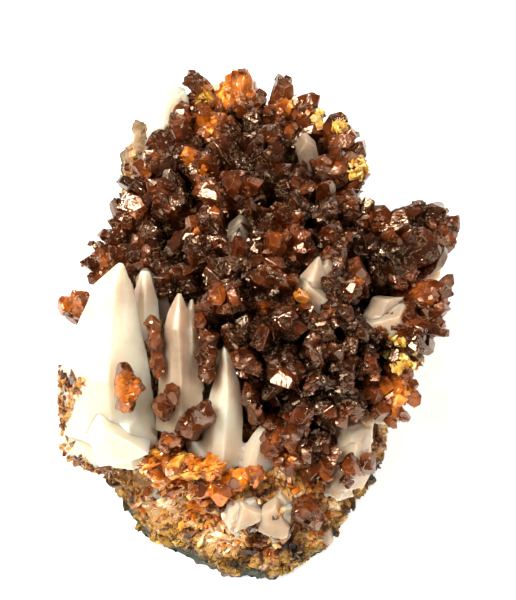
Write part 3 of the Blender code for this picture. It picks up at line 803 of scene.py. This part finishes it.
def add_ramp(tree, factor, *stops):
    """The colour at a factor between stops, each a position and a colour, in rising order."""
    ramp = add_node(tree, "ShaderNodeValToRGB", {"Fac": factor})
    elements = ramp.color_ramp.elements
    elements[0].position, elements[1].position = stops[0][0], stops[-1][0]
    for position, _colour in stops[1:-1]:
        elements.new(position)
    for element, (_position, colour) in zip(elements, stops):
        element.color = (*colour, 1.0)
    return ramp.outputs["Color"]


def add_mix(tree, factor, first, second):
    """Two colours mixed by a factor."""
    inputs = {0: factor, 6: first, 7: second}
    return add_node(tree, "ShaderNodeMix", inputs, data_type="RGBA").outputs[2]


def add_math(tree, operation, first, second, third=0.0, clamp=False):
    """A calculation with sockets and numbers."""
    inputs = {0: first, 1: second, 2: third}
    return add_node(tree, "ShaderNodeMath", inputs, operation=operation,
                    use_clamp=clamp).outputs[0]


def add_attribute(tree, name, output="Fac"):
    """A value stored on the mesh."""
    return add_node(tree, "ShaderNodeAttribute", attribute_name=name).outputs[output]


def growth_stripes(tree, tone):
    """Lines along each crystal, from the places that its corners keep."""
    drawn = vector_step(tree, "MULTIPLY", add_attribute(tree, "local", "Vector"), STRIPE_SCALE)
    own = add_math(tree, "MULTIPLY", tone, 40.0)
    inputs = {"Vector": drawn, "W": own, "Scale": 1.0, "Detail": 1.0}
    return add_node(tree, "ShaderNodeTexNoise", inputs, noise_dimensions="4D").outputs["Fac"]


def add_painted_highlight_lines(tree, colour):
    """Mix thin pale lines over a colour: painted highlights where cracks and edges catch light."""
    place = add_node(tree, "ShaderNodeTexCoord").outputs["Object"]
    bend = add_noise(tree, 900.0, output="Color")
    bent = vector_step(tree, "MULTIPLY_ADD", bend, (2.4 * MM,) * 3, place)
    cells = add_node(tree, "ShaderNodeTexVoronoi", {"Vector": bent, "Scale": 620.0},
                     feature="DISTANCE_TO_EDGE")
    thin = add_node(tree, "ShaderNodeMapRange", {
        "Value": cells.outputs["Distance"], "From Max": HIGHLIGHT_LINE_WIDTH, "To Min": 1.0, "To Max": 0.0})
    where = add_math(tree, "MULTIPLY_ADD", add_noise(tree, 330.0, 2.0), 7.0, -3.4, clamp=True)
    amount = add_math(tree, "MULTIPLY", where, thin.outputs[0])
    amount = add_math(tree, "MULTIPLY", amount, HIGHLIGHT_LINE_STRENGTH)
    return add_mix(tree, amount, colour, (*HIGHLIGHT_LINE_COLOUR, 1.0))


def orpiment_look(tree, settings):
    """Red-brown crystals, orange and gold with painted glow where light comes through, painted
    darker in the gaps.
    """
    tone, glow, deep = (add_attribute(tree, name) for name in ("tone", "glow", "deep"))
    groups = add_math(tree, "MULTIPLY_ADD", add_noise(tree, 130.0, 3.0), 1.7, -0.33)
    mixed = add_math(tree, "MULTIPLY_ADD", tone, 0.36, groups)
    # Painted shade: deep pulls the body colour down the ramp in the gaps and hollows of the druse.
    level = add_math(tree, "MULTIPLY_ADD", deep, -0.52, mixed)
    body = add_ramp(tree, level, (0.35, settings.dark_and_shade), (0.66, settings.brown),
                    (0.98, settings.red))
    boost = add_math(tree, "MULTIPLY_ADD", tone, 1.2, 0.35)
    patchy = add_math(tree, "MULTIPLY_ADD", add_noise(tree, 420.0), 2.2, -0.15)
    patchy = add_math(tree, "MULTIPLY", patchy, boost)
    amount = add_math(tree, "MULTIPLY", patchy, glow)
    amount = add_math(tree, "MULTIPLY", amount, 0.60, clamp=True)
    lit = add_ramp(tree, amount, (0.10, settings.red), (0.32, settings.ember),
                   (0.66, settings.orange), (1.0, settings.gold))
    share = add_math(tree, "MULTIPLY", amount, 3.0, clamp=True)
    facets = add_facets(tree, 700.0)
    lines = add_bump(tree, growth_stripes(tree, tone), 0.4, 0.18 * MM)
    return {
        # The pale lines mixed in here are painted highlights along cracks and edges.
        "Base Color": add_painted_highlight_lines(tree, add_mix(tree, share, body, lit)),
        "Roughness": add_math(tree, "MULTIPLY_ADD", facets["Cell"], 0.16, 0.07),
        "Normal": add_bump(tree, facets["Height"], 0.35, 0.35 * MM, lines),
        "IOR": 1.95, "Specular Tint": (1.0, 0.68, 0.46, 1.0), "Subsurface Weight": 0.08,
        "Subsurface Radius": (1.0, 0.28, 0.05), "Subsurface Scale": 1.2 * MM,
    }


def calcite_look(tree, settings):
    """Milky calcite with faint growth lines, pinkish stains and painted shade."""
    veil = add_noise(tree, 150.0, 6.0, 0.62)
    mottled = add_math(tree, "MULTIPLY_ADD", veil, 0.9, -0.45)
    # Stains, and painted shade where the calcite lies in shade, move the colour from pale to
    # stained to shaded.
    amount = add_math(tree, "MULTIPLY_ADD", add_attribute(tree, "stain_and_shade"), 0.6, mottled, clamp=True)
    broad = add_bump(tree, add_facets(tree, 210.0)["Height"], 0.10, 0.4 * MM)
    return {
        "Base Color": add_ramp(tree, amount, (0.0, settings.pale), (0.5, settings.stained),
                               (1.0, settings.shaded)),
        "Roughness": add_math(tree, "MULTIPLY_ADD", veil, 0.25, 0.24),
        "Normal": add_bump(tree, add_noise(tree, 900.0), 0.16, 0.15 * MM, broad),
        "IOR": 1.56, "Subsurface Weight": 1.0,
        "Subsurface Radius": (1.0, 0.72, 0.5), "Subsurface Scale": 6.0 * MM,
    }


def rock_look(tree, settings):
    """Dark green-black rock with an ochre film and pale specks."""
    blotch = add_noise(tree, 160.0, 6.0, 0.65)
    speck = add_noise(tree, 900.0, 4.0, 0.6)
    stone = add_ramp(tree, speck, (0.32, [0.45 * part for part in settings.rock]),
                     (0.55, settings.rock), (0.72, (0.16, 0.17, 0.12)))
    earth = add_ramp(tree, blotch, (0.30, (0.09, 0.035, 0.012)), (0.44, settings.ochre),
                     (0.56, (0.52, 0.30, 0.17)), (0.70, (0.66, 0.44, 0.10)))
    cover = add_math(tree, "MULTIPLY_ADD", blotch, 2.2, -1.1)
    amount = add_math(tree, "ADD", cover, add_attribute(tree, "crusted"), clamp=True)
    broken = add_bump(tree, add_facets(tree, 420.0)["Height"], 0.5, 0.6 * MM)
    return {
        "Base Color": add_mix(tree, amount, stone, earth), "Roughness": 0.78,
        "Normal": add_bump(tree, speck, 0.5, 0.35 * MM, broken),
    }


def crust_look(tree, settings):
    """Crust: ochre and olive near the table, red-brown, tan, pinkish and cream above."""
    zones = add_math(tree, "MULTIPLY_ADD", add_noise(tree, 170.0, 6.0, 0.7), 2.3, -0.85)
    amount = add_math(tree, "MULTIPLY_ADD", add_attribute(tree, "tone"), 0.42, zones)
    low = add_ramp(
        tree, amount, (0.20, (0.028, 0.032, 0.015)), (0.36, (0.055, 0.042, 0.012)),
        (0.48, (0.20, 0.072, 0.006)), (0.58, settings.ochre), (0.66, (0.20, 0.13, 0.014)),
        (0.78, (0.60, 0.32, 0.016)), (0.95, (0.78, 0.52, 0.16)))
    high = add_ramp(
        tree, amount, (0.20, (0.045, 0.009, 0.002)), (0.35, (0.17, 0.042, 0.005)),
        (0.45, (0.36, 0.14, 0.020)), (0.54, (0.62, 0.34, 0.10)), (0.62, (0.56, 0.27, 0.012)),
        (0.70, (0.52, 0.28, 0.20)), (0.82, (0.82, 0.56, 0.20)), (0.95, (0.92, 0.80, 0.60)))
    place = add_node(tree, "ShaderNodeTexCoord").outputs["Object"]
    height = add_node(tree, "ShaderNodeSeparateXYZ", {0: place}).outputs["Z"]
    rise = add_node(tree, "ShaderNodeMapRange", {
        "Value": height, "From Min": CRUST_DARK, "From Max": CRUST_WARM})
    return {
        "Base Color": add_mix(tree, rise.outputs[0], low, high), "Roughness": 0.36,
        "Normal": add_bump(tree, add_noise(tree, 1400.0), 0.5, 0.3 * MM),
        "Subsurface Weight": 0.1, "Subsurface Radius": (1.0, 0.5, 0.2),
        "Subsurface Scale": 0.8 * MM,
    }


def yellow_look(tree):
    """Lemon-yellow crumbs with brown specks."""
    speck = add_noise(tree, 900.0, 3.0)
    mixed = add_math(tree, "MULTIPLY_ADD", add_attribute(tree, "tone"), 0.35, speck)
    return {
        "Base Color": add_ramp(
            tree, mixed, (0.40, (0.16, 0.05, 0.010)), (0.54, (0.44, 0.17, 0.015)),
            (0.70, (0.72, 0.42, 0.05)), (1.0, (0.88, 0.72, 0.34))),
        "Roughness": 0.35, "Normal": add_bump(tree, speck, 0.3, 0.2 * MM),
        "Subsurface Weight": 0.2, "Subsurface Radius": (1.0, 0.6, 0.15),
        "Subsurface Scale": 1.0 * MM,
    }


def growth_lines(obj, depth):
    """Cut fine lines along the crystals and shallow waves across them."""
    points = points_of(obj.data)
    u, v = view_of(points)
    toward = points @ np.array(TOWARD) / MM
    sunk = np.empty(len(points))
    for index in range(len(points)):
        fine = noise.noise(Vector((u[index] * 1.2, v[index] * 0.10, toward[index] * 1.2)))
        wave = noise.noise(Vector((u[index] * 0.22, v[index] * 0.16, toward[index] * 0.22)))
        sunk[index] = -depth * (0.5 + 0.16 * fine + 1.0 * wave)
    points += points_of(obj.data, "normal") * sunk[:, None]
    points[:, 2] = np.maximum(points[:, 2], 0.0)
    move_points(obj, points)


def broken_into_facets(obj, facet, tilt, reach, seed):
    """Flatten the surface patch by patch, each facet tilted its own way, and give each a tone."""
    points = points_of(obj.data).astype(np.float64)
    normals = points_of(obj.data, "normal")
    area = sum(polygon.area for polygon in obj.data.polygons)
    draw = np.random.default_rng(seed)
    count = max(8, int(area / (facet * facet)))
    centres = points[draw.choice(len(points), count)]
    centres += draw.normal(0.0, 0.3 * facet, centres.shape)
    tree = kdtree.KDTree(count)
    for index, centre in enumerate(centres):
        tree.insert(centre, index)
    tree.balance()
    patch = np.array([tree.find(point)[1] for point in points])
    members = np.maximum(np.bincount(patch, minlength=count), 1)
    middle, facing = (
        np.stack([np.bincount(patch, values[:, axis], count) for axis in range(3)], axis=1)
        for values in (points, normals))
    middle /= members[:, None]
    facing /= np.maximum(np.linalg.norm(facing, axis=1), 1e-6)[:, None]
    plane = facing + draw.normal(0.0, tilt, facing.shape)
    plane /= np.linalg.norm(plane, axis=1)[:, None]
    along = np.maximum((facing * plane).sum(axis=1), 0.3)
    shift = ((middle[patch] - points) * plane[patch]).sum(axis=1) / along[patch]
    shift = np.clip(shift, -reach, 0.6 * reach)
    move_points(obj, points + facing[patch] * shift[:, None])
    paint(obj, "tone", draw.random(count)[patch])


def remeshed(obj, cell):
    """Turn the object into an even closed mesh."""
    modifier = obj.modifiers.new("even", "REMESH")
    modifier.mode = "VOXEL"
    modifier.voxel_size = cell
    apply_modifiers(obj)


def roughen(obj, size, depth, name):
    """Move the surface in by up to the depth, on a cloud pattern of the given size."""
    texture = bpy.data.textures.new(name, "CLOUDS")
    texture.noise_scale = size
    texture.noise_depth = 3
    modifier = obj.modifiers.new(name, "DISPLACE")
    modifier.texture = texture
    modifier.texture_coords = "LOCAL"
    modifier.strength = depth
    modifier.mid_level = 0.72
    apply_modifiers(obj)


class SPECIMEN_OT_rock(bpy.types.Operator):
    """Carve the matrix: broken rock with a flat back."""
    bl_idname = "specimen.rock"
    bl_label = "Rock"

    def execute(self, context):
        settings = context.scene.specimen.rock
        rock = carrier("rock", ["matrix"])
        remeshed(rock, settings.grain)
        roughen(rock, 6 * MM, settings.roughness, "rock_hollows")
        roughen(rock, 1.6 * MM, settings.roughness * 0.35, "rock_chips")
        broken_into_facets(rock, settings.facet, tilt=0.22, reach=0.7 * MM, seed=2)
        points = points_of(rock.data)
        points[:, 2] = np.where(points[:, 2] < FLAT_BACK, 0.0, points[:, 2])
        move_points(rock, points)
        inside_box(rock)
        height = points[:, 2] / MM
        _u, v = view_of(points)
        front = np.clip((CRUST_TOP - v) / CRUST_FADE, 0.0, 1.0)
        film = np.clip((height - FILM_FOOT) / FILM_RISE, 0.0, 1.0)
        paint(rock, "crusted", film * (FILM_AT_SIDES + FILM_IN_FRONT * front))
        place_piece(rock, material_of("rock_broken", rock_look, settings),
                    ["matrix"])
        return {"FINISHED"}


def crust_skin(settings):
    """The flaky skin of crust over the front of the rock."""
    skin = carrier("crust_skin", ["matrix"])
    remeshed(skin, settings.skin_grain)
    roughen(skin, 3 * MM, settings.roughness * 0.4, "skin_hollows")
    keep_faces(skin, lambda centre, normal: (
        centre.dot(UPWARD) < (CRUST_TOP + 1.0) * MM
        and centre.z > SKIN_FOOT + SKIN_EDGE * noise.noise(centre / SKIN_RAGS)))
    broken_into_facets(skin, settings.facet, tilt=0.30, reach=0.8 * MM, seed=11)
    broken_into_facets(skin, settings.flake, tilt=0.60, reach=0.65 * MM, seed=12)
    wall = skin.modifiers.new("wall", "SOLIDIFY")
    wall.thickness = SKIN_WALL
    wall.offset = -1.0
    apply_modifiers(skin)
    inside_box(skin)
    smooth(skin, 25.0)
    return skin


class SPECIMEN_OT_crust(bpy.types.Operator):
    """Cover the rock with a skin, lumps and crumbs of crust, and set yellow crumbs by crystals."""
    bl_idname = "specimen.crust"
    bl_label = "Crust"

    def execute(self, context):
        settings = context.scene.specimen.rock
        tree = growth_tree("crust_growth", crystal_forms("crumbs"))
        material = material_of("crust_earthy", crust_look, settings)

        def layer(name, nodes, wanted, spacing, smallest, largest, seed, **options):
            """Crumbs on the wanted faces; spacing is against the usual, sizes in millimetres."""
            piece = carrier(name, nodes)
            keep_faces(piece, wanted)
            grow(piece, tree, settings.crumb_spacing * spacing, (smallest * MM, largest * MM),
                 seed, turn=6.0, **options)
            return piece

        layers = (
            layer("crust_lumps", ["matrix"],
                  lambda centre, normal: (centre.z > LUMP_FOOT
                                          and centre.dot(UPWARD) < (CRUST_TOP - 3.0) * MM),
                  spacing=3.4, smallest=1.2, largest=2.6, seed=3, loose=0.5,
                  height=0.6, bare=0.50),
            layer("crust_crumbs", ["matrix"],
                  lambda centre, normal: (centre.z > CRUMB_FOOT
                                          and centre.dot(UPWARD) < CRUST_TOP * MM),
                  spacing=1.0, smallest=0.45, largest=1.15, seed=4, loose=0.7,
                  height=0.9, bare=0.53),
            layer("crust_on_sides", ["matrix"],
                  lambda centre, normal: (centre.z > CRUMB_FOOT
                                          and centre.dot(UPWARD) >= CRUST_TOP * MM),
                  spacing=1.0, smallest=0.5, largest=1.35, seed=8, loose=0.6,
                  height=0.9, bare=0.54),
            layer("crust_on_blocks", ["calcite_block_front"],
                  lambda centre, normal: in_places(centre, BLOCK_EDGES),
                  spacing=1.0, smallest=0.5, largest=1.4, seed=7, loose=0.6,
                  height=0.9, bare=0.47),
            layer("crust_edge", ["calcite_corner", "calcite_great_spire"],
                  lambda centre, normal: in_places(centre, EDGE_PLACES),
                  spacing=1.0, smallest=0.6, largest=1.5, seed=5, loose=0.8,
                  height=0.9, bare=0.36),
        )
        for piece in (crust_skin(settings), *layers):
            place_piece(piece, material)
        yellow = layer("yellow_crumbs", ["matrix", "orpiment_mass", "calcite_tooth_left"],
                       lambda centre, normal: (in_places(centre, YELLOW_PLACES)
                                               and centre.z > YELLOW_FOOT),
                       spacing=0.8, smallest=0.5, largest=1.3, seed=6, loose=0.7,
                       height=1.3, bare=0.3)
        place_piece(yellow, material_of("lemon_crumbs", yellow_look))
        return {"FINISHED"}


def blade(name, across, up, height, size, tip, turn, grain):
    """A broad calcite that faces the viewer: a box cut to a point and chamfered."""
    width, length, thickness = (side * MM for side in size)
    point = (tip * width / 2, length / 2, 0)
    bpy.ops.object.select_all(action="DESELECT")
    bpy.ops.mesh.primitive_cube_add(size=1.0, location=(0, 0, 0))
    obj = bpy.context.active_object
    obj.name = name
    bpy.ops.object.mode_set(mode="EDIT")
    bpy.ops.mesh.select_all(action="SELECT")
    bpy.ops.transform.resize(value=(width, length, thickness), center_override=(0, 0, 0))
    cut_by_planes((
        (point, (1.0, 0.75, 0.2)), (point, (-0.8, 0.7, 0.25)),
        ((0.375 * width, 0, 0.35 * thickness), (0.75, 0.05, 1.0)),
        ((-0.35 * width, 0, 0.4 * thickness), (-0.6, -0.1, 1.0))))
    bpy.ops.mesh.normals_make_consistent(inside=False)
    bpy.ops.object.mode_set(mode="OBJECT")
    spin = Matrix.Rotation(math.radians(turn), 4, TOWARD)
    lean = Matrix.Rotation(math.pi / 2 - VIEW_TILT + BLADE_LEAN, 4, "X")
    obj.matrix_world = Matrix.Translation(seat(across, up, height)) @ spin @ lean
    bpy.ops.object.transform_apply(location=True, rotation=True, scale=True)
    remeshed(obj, grain)
    return obj


class SPECIMEN_OT_gap_calcite(bpy.types.Operator):
    """Set broad calcites in the gaps between the orpiment crystals, and chips in the crust."""
    bl_idname = "specimen.gap_calcite"
    bl_label = "Calcite in the gaps"

    def execute(self, context):
        settings = context.scene.specimen.calcite
        chips = [(name, u, v, height_at(u, v, CHIP_CARRIERS) + lift, *rest)
                 for name, u, v, lift, *rest in CRUST_CALCITES]
        # The last value of each calcite is how stained it is and how much shade is painted on it.
        for *shape, stain_and_shade in (*GAP_CALCITES, *chips):
            piece = blade(*shape, settings.grain)
            growth_lines(piece, settings.unevenness * 0.6)
            inside_box(piece)
            place_calcite(piece, np.full(len(piece.data.vertices), stain_and_shade), settings)
        return {"FINISHED"}


def place_calcite(piece, stain_and_shade, settings, replaced=()):
    """Finish a calcite piece that is stained, or painted with shade, by so much at each corner."""
    paint(piece, "stain_and_shade", stain_and_shade)
    smooth(piece, 28.0)
    place_piece(piece, material_of("calcite_milky", calcite_look, settings), replaced)


class SPECIMEN_OT_calcite(bpy.types.Operator):
    """Give the calcite crystals their growth lines and milky faces."""
    bl_idname = "specimen.calcite"
    bl_label = "Calcite"

    def execute(self, context):
        settings = context.scene.specimen.calcite
        for node in CALCITE_NODES:
            piece = carrier(node + "_grown", [node])
            remeshed(piece, settings.grain)
            growth_lines(piece, settings.unevenness)
            if node in BROKEN_CALCITES:
                broken_into_facets(piece, settings.facet, tilt=0.13, reach=0.7 * MM, seed=5)
            inside_box(piece)
            points = points_of(piece.data)
            # Stains and painted shade, for the node and round each spot.
            stain_and_shade = np.full(len(points), CALCITE_STAIN_AND_SHADE[node])
            for *spot, strength in STAIN_AND_SHADE_SPOTS:
                stain_and_shade += strength * falloff(points, *spot)
            place_calcite(piece, stain_and_shade, settings, [node])
        return {"FINISHED"}


def place_orpiment(obj, share, chart, settings, replaced=()):
    """Finish an orpiment piece that is lit through by at least this share.

    Its corners keep how much painted glow they get and their depth behind the chart, painted as
    shade.
    """
    points = points_of(obj.data)
    lit = points
    if "root" in obj.data.attributes:
        lit = np.empty(points.size, dtype=np.float32)
        obj.data.attributes["root"].data.foreach_get("vector", lit)
        lit = ROOT_SHARE * lit.reshape(-1, 3) + (1.0 - ROOT_SHARE) * points
    paint(obj, "glow", np.maximum(spot_glow(lit), share))
    # Painted shade: deep darkens corners that lie behind the front round them and in the hollows.
    paint(obj, "deep", np.clip((cavity(points, chart) + 1.0) / 4.0 + hollowness(points), 0.0, 1.0))
    place_piece(obj, material_of("orpiment_crystals", orpiment_look, settings),
                replaced)


def deepen(obj):
    """Sink the hollows of the druse and the gaps between its crystals."""
    points = points_of(obj.data).astype(np.float64)
    gap = np.clip(cavity(points, front_chart(points)), 0.0, GAP_REACH)
    sunk = SURFACE_SINK + gap + hollowness(points) * HOLLOW_DEPTH
    sunk = np.minimum(sunk, np.clip(points[:, 2] / MM - LOWEST_GAP, 0.0, None)) * MM
    move_points(obj, points - np.outer(sunk, np.array(TOWARD)))


def grows_here(centre, normal, place, chart):
    """Whether crystals grow on a face of the druse's core."""
    return (in_places(centre, (place,)) and normal.dot(TOWARD) > 0.2
            and abs(centre.x) < GROWTH_REACH * MM and centre.z > (LOWEST_GAP + 1.0) * MM
            and not in_hollow(centre)
            and cavity(np.array([centre]), chart)[0] < GROWTH_DEPTH)


class SPECIMEN_OT_druse(bpy.types.Operator):
    """Sink the gaps of the orpiment mass and grow large and small crystals on it."""
    bl_idname = "specimen.druse"
    bl_label = "Orpiment druse"

    def execute(self, context):
        settings = context.scene.specimen.druse
        small_tree = growth_tree("small_growth", crystal_forms("small_crystals"))
        large_tree = growth_tree("large_growth", crystal_forms("large_crystals"))
        core = carrier("druse_core", ["orpiment_mass"])
        remeshed(core, settings.grain)
        deepen(core)
        broken_into_facets(core, settings.facet, tilt=0.15, reach=0.55 * MM, seed=settings.seed)
        inside_box(core)
        chart = front_chart(points_of(core.data))
        parts = []
        for number, (name, place) in enumerate(DRUSE_PARTS.items()):
            ground = bpy.data.objects.new("ground", core.data.copy())
            context.scene.collection.objects.link(ground)
            keep_faces(ground, lambda centre, normal: grows_here(centre, normal, place, chart))
            seed = settings.seed + 10 * number
            part = bpy.data.objects.new(name, ground.data.copy())
            context.scene.collection.objects.link(part)
            for obj, kept in ((part, False), (ground, True)):
                grow(obj, large_tree, settings.large_spacing, settings.large_sizes, seed,
                     height=PRISM_HEIGHT, lean=1.5, loose=0.45, turn=6.0, keep=kept)
            grow(ground, small_tree, settings.spacing, settings.small_sizes, seed + 1,
                 height=0.8, lean=0.2, loose=0.25, turn=0.5, bare=0.57)
            join((part, ground))
            parts.append(part)
        chart = front_chart(np.concatenate([points_of(part.data) for part in parts]))
        for part in parts:
            place_orpiment(part, 0.0, chart, settings)
        amber = carrier("orpiment_in_crust", ["matrix"])
        keep_faces(amber, lambda centre, normal: (
            in_places(centre, AMBER_PLACES) and normal.dot(TOWARD) > 0.1 and centre.z > LUMP_FOOT))
        grow(amber, large_tree, settings.spacing * 1.6, settings.amber_sizes, settings.seed,
             height=1.3, loose=0.7, turn=6.0, bare=0.38)
        place_orpiment(amber, settings.amber_glow, front_chart(points_of(amber.data)), settings)
        smooth(core, 20.0)
        place_orpiment(core, 0.0, chart, settings, ["orpiment_mass"])
        return {"FINISHED"}


class SPECIMEN_OT_clusters(bpy.types.Operator):
    """Shape the orpiment clusters that sit by themselves, and the fibres on the ledge."""
    bl_idname = "specimen.clusters"
    bl_label = "Orpiment clusters"

    def execute(self, context):
        settings = context.scene.specimen.druse
        for number, node in enumerate(CLUSTER_NODES):
            part = carrier(node + "_grown", [node])
            remeshed(part, settings.cluster_grain)
            broken_into_facets(part, settings.facet * 1.4, tilt=0.18, reach=0.6 * MM,
                               seed=settings.seed + number)
            inside_box(part)
            smooth(part, 24.0)
            place_orpiment(part, CLUSTER_GLOW[node], front_chart(points_of(part.data)), settings,
                           [node])
        fibres = carrier("orpiment_fibres", ["orpiment_ledge", "matrix"])
        keep_faces(fibres, lambda centre, normal: (
            in_places(centre, FIBRE_PLACES) and normal.dot(TOWARD) > 0.1 and centre.z > LUMP_FOOT))
        grow(fibres, bpy.data.node_groups["crust_growth"], settings.spacing * 0.7,
             settings.fibre_sizes, settings.seed, height=0.9, loose=0.4, turn=0.6, bare=0.45)
        place_orpiment(fibres, settings.fibre_glow, front_chart(points_of(fibres.data)), settings)
        return {"FINISHED"}


class SPECIMEN_OT_stage(bpy.types.Operator):
    """Add the floor, the lights and the camera."""
    bl_idname = "specimen.stage"
    bl_label = "Stage"

    def execute(self, context):
        settings = context.scene.specimen.stage
        bpy.ops.object.select_all(action="DESELECT")
        bpy.ops.mesh.primitive_plane_add(size=6.0, location=(0, 0, -0.02 * MM))
        floor = context.active_object
        floor.name = "floor"
        bpy.ops.object.transform_apply(location=True)
        floor.data.materials.append(material_of("floor_white", lambda tree: {
            "Base Color": (0.93, 0.925, 0.91, 1), "Roughness": 0.7,
            "Emission Color": (1.0, 0.995, 0.98, 1), "Emission Strength": settings.floor_light}))

        world = bpy.data.worlds.new("studio")
        context.scene.world = world
        world.use_nodes = True
        backdrop = world.node_tree.nodes["Background"]
        backdrop.inputs["Color"].default_value = (1.0, 0.985, 0.96, 1)
        backdrop.inputs["Strength"].default_value = settings.sky

        centre = seat(-0.4, 6.0, 30.0)
        # Name, place from the middle of the specimen, side, power and colour of each lamp.
        lamps = (
            ("key", (-0.34, 0.0, 0.66), 0.30, settings.key_power, (1.0, 0.97, 0.92)),
            ("fill", (0.5, -0.35, 0.5), 0.5, settings.key_power * 0.18, (1.0, 0.98, 0.96)),
            ("glint_left", (-0.25, -0.3, 0.7), 0.035, settings.key_power * 0.17, (1, 1, 1)),
            ("glint_right", (0.3, 0.05, 0.75), 0.035, settings.key_power * 0.17, (1, 1, 1)),
            ("glint_top", (0.02, 0.3, 0.7), 0.04, settings.key_power * 0.17, (1, 0.98, 0.95)),
        )
        for name, place, size, power, colour in lamps:
            light = bpy.data.lights.new(name, "AREA")
            light.size = size
            light.energy = power
            light.color = colour
            lamp = bpy.data.objects.new(name, light)
            lamp.location = centre + Vector(place)
            lamp.rotation_euler = (-Vector(place)).to_track_quat("-Z", "Y").to_euler()
            context.scene.collection.objects.link(lamp)

        view = bpy.data.cameras.new("camera")
        view.lens = view.sensor_width * settings.camera_distance / settings.view_side
        view.clip_start = 0.05
        camera = bpy.data.objects.new("camera", view)
        camera.location = centre + TOWARD * settings.camera_distance
        camera.rotation_euler = (math.pi / 2 - VIEW_TILT, 0, 0)
        context.scene.collection.objects.link(camera)
        context.scene.camera = camera
        context.scene.view_settings.view_transform = "Standard"
        context.scene.view_settings.look = "None"
        return {"FINISHED"}


class SPECIMEN_PT_panel(bpy.types.Panel):
    """Sidebar panel with the specimen's settings and steps."""
    bl_label = "Specimen"
    bl_idname = "SPECIMEN_PT_panel"
    bl_space_type = "VIEW_3D"
    bl_region_type = "UI"
    bl_category = "Specimen"

    def draw(self, context):
        settings = context.scene.specimen
        for group in (settings.rock, settings.calcite, settings.druse, settings.stage):
            box = self.layout.box()
            for prop in group.bl_rna.properties:
                if prop.identifier not in ("rna_type", "name"):
                    box.prop(group, prop.identifier)
        for operator in OPERATORS:
            self.layout.operator(operator.bl_idname)


OPERATORS = (SPECIMEN_OT_rock, SPECIMEN_OT_crust, SPECIMEN_OT_calcite,
             SPECIMEN_OT_gap_calcite, SPECIMEN_OT_druse, SPECIMEN_OT_clusters, SPECIMEN_OT_stage)
CLASSES = (DruseSettings, CalciteSettings, RockSettings, StageSettings, SpecimenSettings,
           *OPERATORS, SPECIMEN_PT_panel)


def register():
    for cls in CLASSES:
        bpy.utils.register_class(cls)
    bpy.types.Scene.specimen = PointerProperty(type=SpecimenSettings)


def unregister():
    del bpy.types.Scene.specimen
    for cls in reversed(CLASSES):
        bpy.utils.unregister_class(cls)


def drop_forms():
    """Remove the small crystals that the growths were made from."""
    for group in FORMS:
        forms = bpy.data.collections[group]
        for obj in list(forms.objects):
            bpy.data.objects.remove(obj)
        bpy.data.collections.remove(forms)


def main():
    register()
    bpy.ops.specimen.rock()
    bpy.ops.specimen.crust()
    bpy.ops.specimen.calcite()
    bpy.ops.specimen.gap_calcite()
    bpy.ops.specimen.druse()
    bpy.ops.specimen.clusters()
    bpy.ops.specimen.stage()
    drop_forms()


if __name__ == "__main__":
    main()
